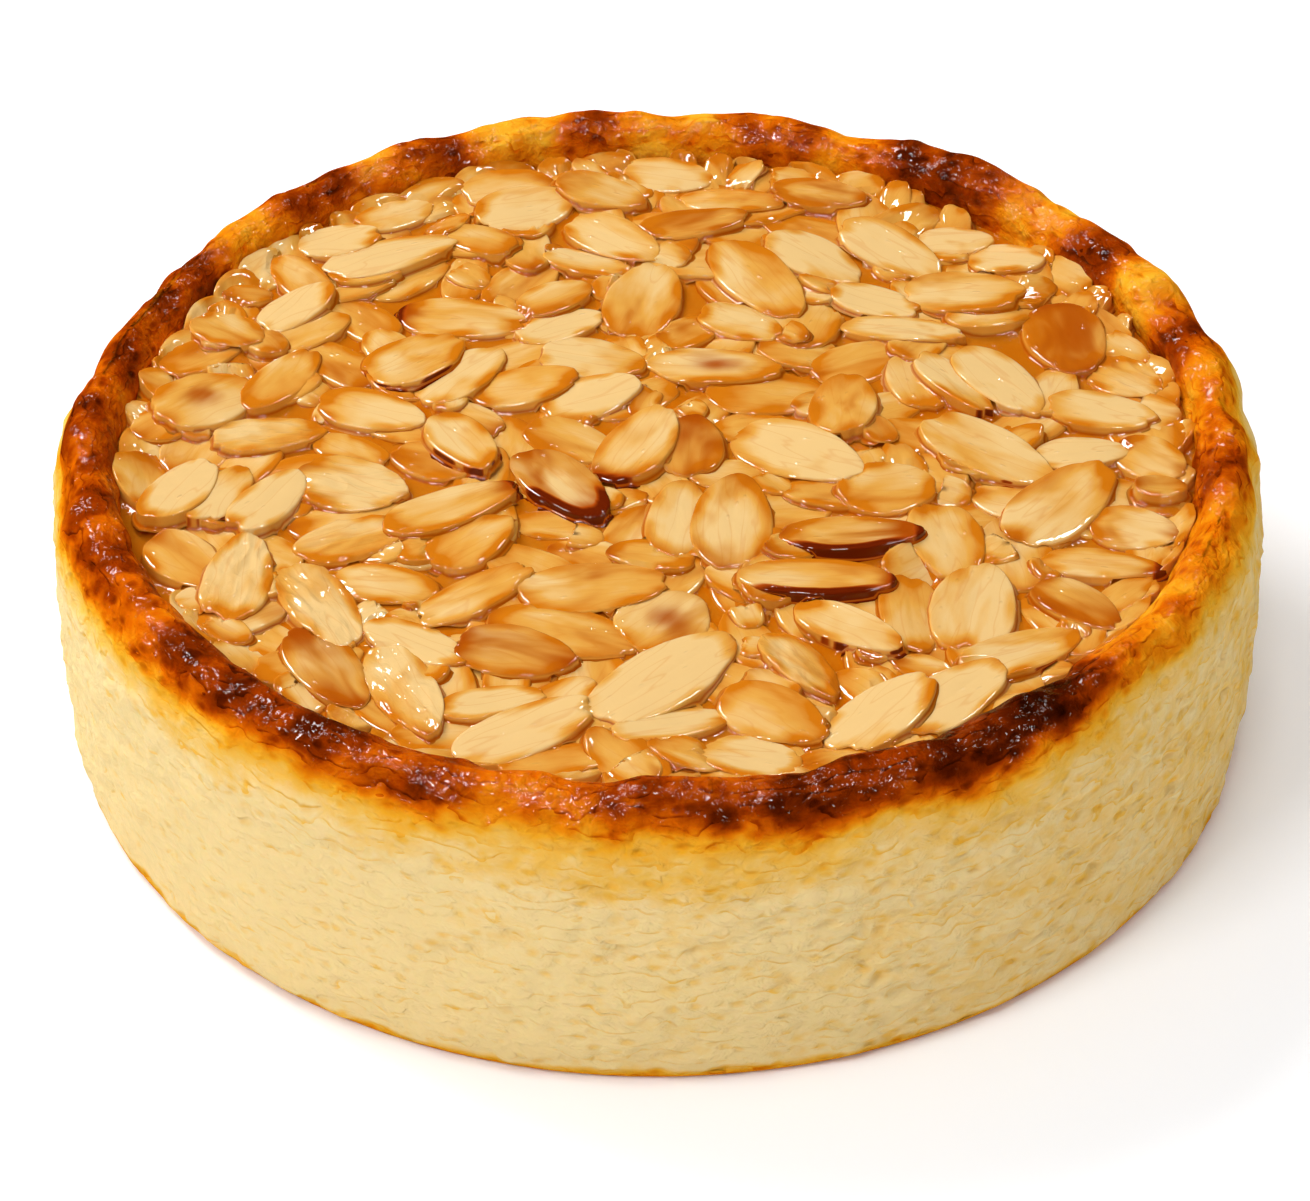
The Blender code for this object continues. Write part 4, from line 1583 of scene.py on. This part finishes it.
    def dress(self, piece: bpy.types.Object, look: Look) -> None:
        """Gives the slices their finish, hangs them from the root body and hides the solid they stand in for.

        Args:
            piece: the slices of one look.
            look: which look.
        """
        sizes = LOOKS[look]
        finish = SlicedAlmondFinish(
            "glazed_almond_" + look.name.lower(), ripple_mm=sizes.glaze_run_mm, ripple_depth_mm=sizes.glaze_mm
        )
        piece.data.materials.append(finish.material())
        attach(piece, "root")
        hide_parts("almond_topping")


@dataclass
class CaramelPool:
    """The pool of caramel that the slices lie in, drawn up a little where it wets a slice or the rim."""

    layout: SliceLayout
    finish: CaramelFinish = CaramelFinish()
    radius: float = 80.3 * MM
    underside: float = 38.9 * MM
    cells_across: int = 290
    grid_step: float = 0.5 * MM
    level_blur: float = 4.0 * MM
    below_slices: float = 1.2 * MM
    drowning: float = 0.2 * MM
    bare_margin: float = 0.4 * MM
    wetting_blur: float = 0.55 * MM
    wetting: float = 0.4
    rim_wetting: float = 0.5 * MM
    # Painted shade next to taller slices: how much it adds to the depth, and the wetting at which it is full.
    painted_shade_depth: float = 0.5 * MM
    bed_tone: float = 0.6
    last_blur: float = 0.4 * MM
    tone_blur: float = 0.3 * MM
    most_proud: float = 1.0 * MM
    painted_shade_full_at: float = 0.5 * MM
    rim_wetting_width: float = 0.8 * MM
    full_depth: float = 2.3 * MM
    skirt_inset: float = 0.7 * MM
    surface: np.ndarray | None = None
    depth: np.ndarray | None = None
    tone: np.ndarray | None = None

    def tops(self) -> tuple[np.ndarray, np.ndarray]:
        """The highest slice top, and the bed where there is none, on the fine grid.

        Returns:
            The grid's heights, and the number of the slice on top with 0 for none.
        """
        east, north = self.layout.grid(self.grid_step)
        surface = np.full_like(east, self.layout.bed_level)
        owners = np.zeros(east.shape, int)
        for number, piece in enumerate(self.layout.slices, start=1):
            inside, top = piece.cover(east, north)
            # A slice laid later covers the ones before it, even where it dips.
            surface = np.where(inside, np.maximum(surface - self.layout.overlap, top), surface)
            owners = np.where(inside, number, owners)
        return surface, owners

    def settle(self) -> None:
        """Finds the pool's surface, its depth and the tone of what it covers, on the fine grid."""
        tops, owners = self.tops()
        level = blurred(tops, self.level_blur / self.grid_step) - self.below_slices
        # A slice that mostly lies above the syrup is left bare, and one that lies deeper is drowned whole.
        taken = owners.ravel()
        drowned = np.bincount(taken, (level - tops).ravel()) / np.maximum(np.bincount(taken), 1)
        bare = drowned[owners] < self.drowning
        bare[owners == 0] = False
        level = np.where(bare, np.minimum(level, tops - self.bare_margin), level)
        level = blurred(level, self.last_blur / self.grid_step)
        proud = np.clip(tops - level, 0, self.most_proud)
        wetted = blurred(proud, self.wetting_blur / self.grid_step)
        self.surface = level + self.wetting * wetted
        # Painted shade: the syrup next to a taller slice is made darker, as if in its shade.
        painted_crevice_shade = self.painted_shade_depth * np.clip(wetted / self.painted_shade_full_at, 0, 1)
        self.depth = np.clip(self.surface - tops, 0, None) + painted_crevice_shade
        tones = np.array([self.bed_tone] + [piece.tone for piece in self.layout.slices])
        self.tone = blurred(tones[owners], self.tone_blur / self.grid_step)

    def sampled(self, grid: np.ndarray, east: np.ndarray, north: np.ndarray) -> np.ndarray:
        """Reads a fine grid between its cells.

        Args:
            grid: the grid.
            east: x of the places to read.
            north: y of the places.

        Returns:
            The value at each place.
        """
        middle = (len(grid) - 1) / 2
        column = np.clip(east / self.grid_step + middle, 0, len(grid) - 1.001)
        row = np.clip(north / self.grid_step + middle, 0, len(grid) - 1.001)
        left, low = column.astype(int), row.astype(int)
        right_share, up_share = column - left, row - low
        bottom = grid[low, left] * (1 - right_share) + grid[low, left + 1] * right_share
        upper = grid[low + 1, left] * (1 - right_share) + grid[low + 1, left + 1] * right_share
        return bottom * (1 - up_share) + upper * up_share

    def height_at(self, east: np.ndarray, north: np.ndarray) -> np.ndarray:
        """The pool's height at each place.

        Args:
            east: x of the places.
            north: y of the places.

        Returns:
            The heights in metres.
        """
        away = np.clip(self.radius - np.hypot(east, north), 0, None)
        drawn_up = self.rim_wetting * np.exp(-away / self.rim_wetting_width)
        return self.sampled(self.surface, east, north) + drawn_up

    def build(self) -> bpy.types.Object:
        """Builds the pool's mesh with its "depth" and "tone" marks.

        Returns:
            The pool, not yet dressed.
        """
        side = np.linspace(-1, 1, self.cells_across)
        across, along = np.meshgrid(side, side)
        east = across * np.sqrt(1 - along**2 / 2) * self.radius
        north = along * np.sqrt(1 - across**2 / 2) * self.radius
        height = self.height_at(east, north)
        film, tone = self.sampled(self.depth, east, north), self.sampled(self.tone, east, north)
        count = self.cells_across
        places = np.arange(count * count).reshape(count, count)
        quads = np.stack([places[:-1, :-1], places[:-1, 1:], places[1:, 1:], places[1:, :-1]], axis=-1)
        border = np.concatenate([places[0, :-1], places[:-1, -1], places[-1, :0:-1], places[:0:-1, 0]])
        top = np.column_stack([east.ravel(), north.ravel(), height.ravel()])
        skirt = top[border].copy()
        skirt[:, :2] *= (self.layout.sizes.recess_radius - self.skirt_inset) / self.radius
        skirt[:, 2] = self.underside
        lower = np.arange(len(border)) + len(top)
        walls = np.column_stack([np.roll(border, -1), border, lower, np.roll(lower, -1)])
        marks = {
            "depth": np.concatenate([film.ravel() / self.full_depth, np.ones(len(border))]),
            "tone": np.concatenate([tone.ravel(), np.ones(len(border))]),
        }
        faces = [quads.reshape(-1, 4), walls, lower[::-1][None, :]]
        return make_piece("caramel_pool", np.concatenate([top, skirt]), faces, marks)

    def dress(self, piece: bpy.types.Object) -> None:
        """Gives the pool its finish, hangs it from the root body and hides the solid it stands in for.

        Args:
            piece: the pool.
        """
        piece.data.materials.append(self.finish.material())
        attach(piece, "root")
        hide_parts("almond_topping")


# --------------------------------------------------------------------------------------------------
# The studio
# --------------------------------------------------------------------------------------------------


@dataclass
class Studio:
    """A white floor, a soft key from behind on the left, a pale surround and the camera."""

    floor_half: float = 6.0
    camera_place: tuple[float, float, float] = (-0.000317, -0.5340, 0.4346)
    camera_aim: tuple[float, float, float] = (-0.000317, 0.0, 0.015255)
    lens_mm: float = 121.85
    # Wide soft lights, which the glaze doesn't mirror, and bright cards, which are seen only in its glints.
    soft_lights: Lights = (
        ("key_light", 137.0, 48.0, 1.3, 0.55, 11.4),
        ("top_light", 270.0, 78.0, 1.2, 0.3, 2.9),
        ("front_light", 225.0, 50.0, 1.2, 0.35, 4.8),
    )
    cards: Lights = (
        ("card_0", 137.0, 48.0, 1.1, 0.26, 9.0),
        ("card_1", 60.0, 58.0, 1.1, 0.13, 2.0),
        ("card_2", 195.0, 38.0, 1.1, 0.13, 4.0),
        ("card_3", 225.0, 50.0, 1.1, 0.13, 5.0),
        ("card_4", 265.0, 74.0, 1.1, 0.13, 4.5),
        ("card_5", 320.0, 48.0, 1.1, 0.13, 2.5),
    )
    surround: float = 0.48
    mirrored_surround: float = 0.005

    def floor(self) -> bpy.types.Object:
        """Lays the floor.

        Returns:
            The floor.
        """
        half = self.floor_half
        corners = np.array([(-half, -half, 0), (half, -half, 0), (half, half, 0), (-half, half, 0)], float)
        piece = make_piece("studio_floor", corners, [np.array([[0, 1, 2, 3]])])
        piece.data.materials.append(StudioBoardFinish().material())
        # Mirrored in the glaze, the white board would grey the dark crust.
        piece.visible_glossy = False
        return piece

    def soft_box(
        self, name: str, azimuth: float, elevation: float, distance: float, side: float, watts: float
    ) -> bpy.types.Object:
        """Hangs a square soft light that points at the tart.

        Args:
            name: the light's name.
            azimuth: in degrees, 0 to the right and 90 behind.
            elevation: in degrees above the floor.
            distance: from the tart in metres.
            side: the light's side in metres.
            watts: its power.

        Returns:
            The light.
        """
        light = bpy.data.lights.new(name, "AREA")
        light.size = side
        light.energy = watts
        holder = bpy.data.objects.new(name, light)
        turn, rise = radians(azimuth), radians(elevation)
        place = Vector((cos(turn) * cos(rise), sin(turn) * cos(rise), sin(rise))) * distance
        holder.location = place
        holder.rotation_euler = (-place).to_track_quat("-Z", "Y").to_euler()
        bpy.context.scene.collection.objects.link(holder)
        return holder

    def surroundings(self) -> None:
        """Lights the scene evenly from all round, dimmed where it would only be mirrored in the glaze."""
        world = bpy.data.worlds.new("studio_surround")
        world.use_nodes = True
        world.node_tree.nodes.clear()
        add = partial(add_node, world.node_tree)
        mirrored = add("LightPath").outputs["Is Glossy Ray"]
        strength = add(
            "MapRange", {"To Min": self.surround, "To Max": self.mirrored_surround}, {"Value": mirrored}
        )
        glow = add("Background", {"Color": linear("FFFFFF")}, {"Strength": strength})
        add("OutputWorld", {}, {"Surface": glow})
        bpy.context.scene.world = world

    def camera(self) -> None:
        """Sets up the camera at the photograph's viewing angle."""
        lens = bpy.data.cameras.new("camera")
        lens.lens = self.lens_mm
        lens.sensor_width = 36.0
        lens.sensor_fit = "HORIZONTAL"
        holder = bpy.data.objects.new("camera", lens)
        holder.location = self.camera_place
        aim = Vector(self.camera_aim) - Vector(self.camera_place)
        holder.rotation_euler = aim.to_track_quat("-Z", "Y").to_euler()
        bpy.context.scene.collection.objects.link(holder)
        bpy.context.scene.camera = holder

    def build(self) -> None:
        """Sets up the floor, lights, surround and camera, and plain colours with no film curve."""
        self.floor()
        for light in self.soft_lights:
            # Mirrored, a wide light would lie on the glaze as a pale veil.
            self.soft_box(*light).visible_glossy = False
        for light in self.cards:
            self.soft_box(*light).visible_diffuse = False
        self.surroundings()
        self.camera()
        view = bpy.context.scene.view_settings
        view.view_transform = "Standard"
        view.look = "None"
        view.exposure = 0.0
        view.gamma = 1.0


def main() -> None:
    """Builds and dresses every piece in order, then sets up the studio."""
    logging.basicConfig(level=logging.INFO, format="%(name)s: %(message)s")
    sizes = TartSizes()
    body = BakedBody(sizes)
    crust = body.build()
    body.dress(crust)
    log.info("%s: %d faces", crust.name, len(crust.data.polygons))
    layout = SliceLayout(sizes)
    log.info("slices laid: %d", len(layout.lay()))
    pool = CaramelPool(layout)
    pool.settle()
    caramel = pool.build()
    pool.dress(caramel)
    log.info("%s: %d faces", caramel.name, len(caramel.data.polygons))
    almonds = SlicedAlmonds(layout, pool)
    for look in sorted({piece.look for piece in layout.slices}, key=lambda one: one.name):
        slices = almonds.build(look)
        almonds.dress(slices, look)
        log.info("%s: %d faces", slices.name, len(slices.data.polygons))
    Studio().build()


if __name__ == "__main__":
    main()
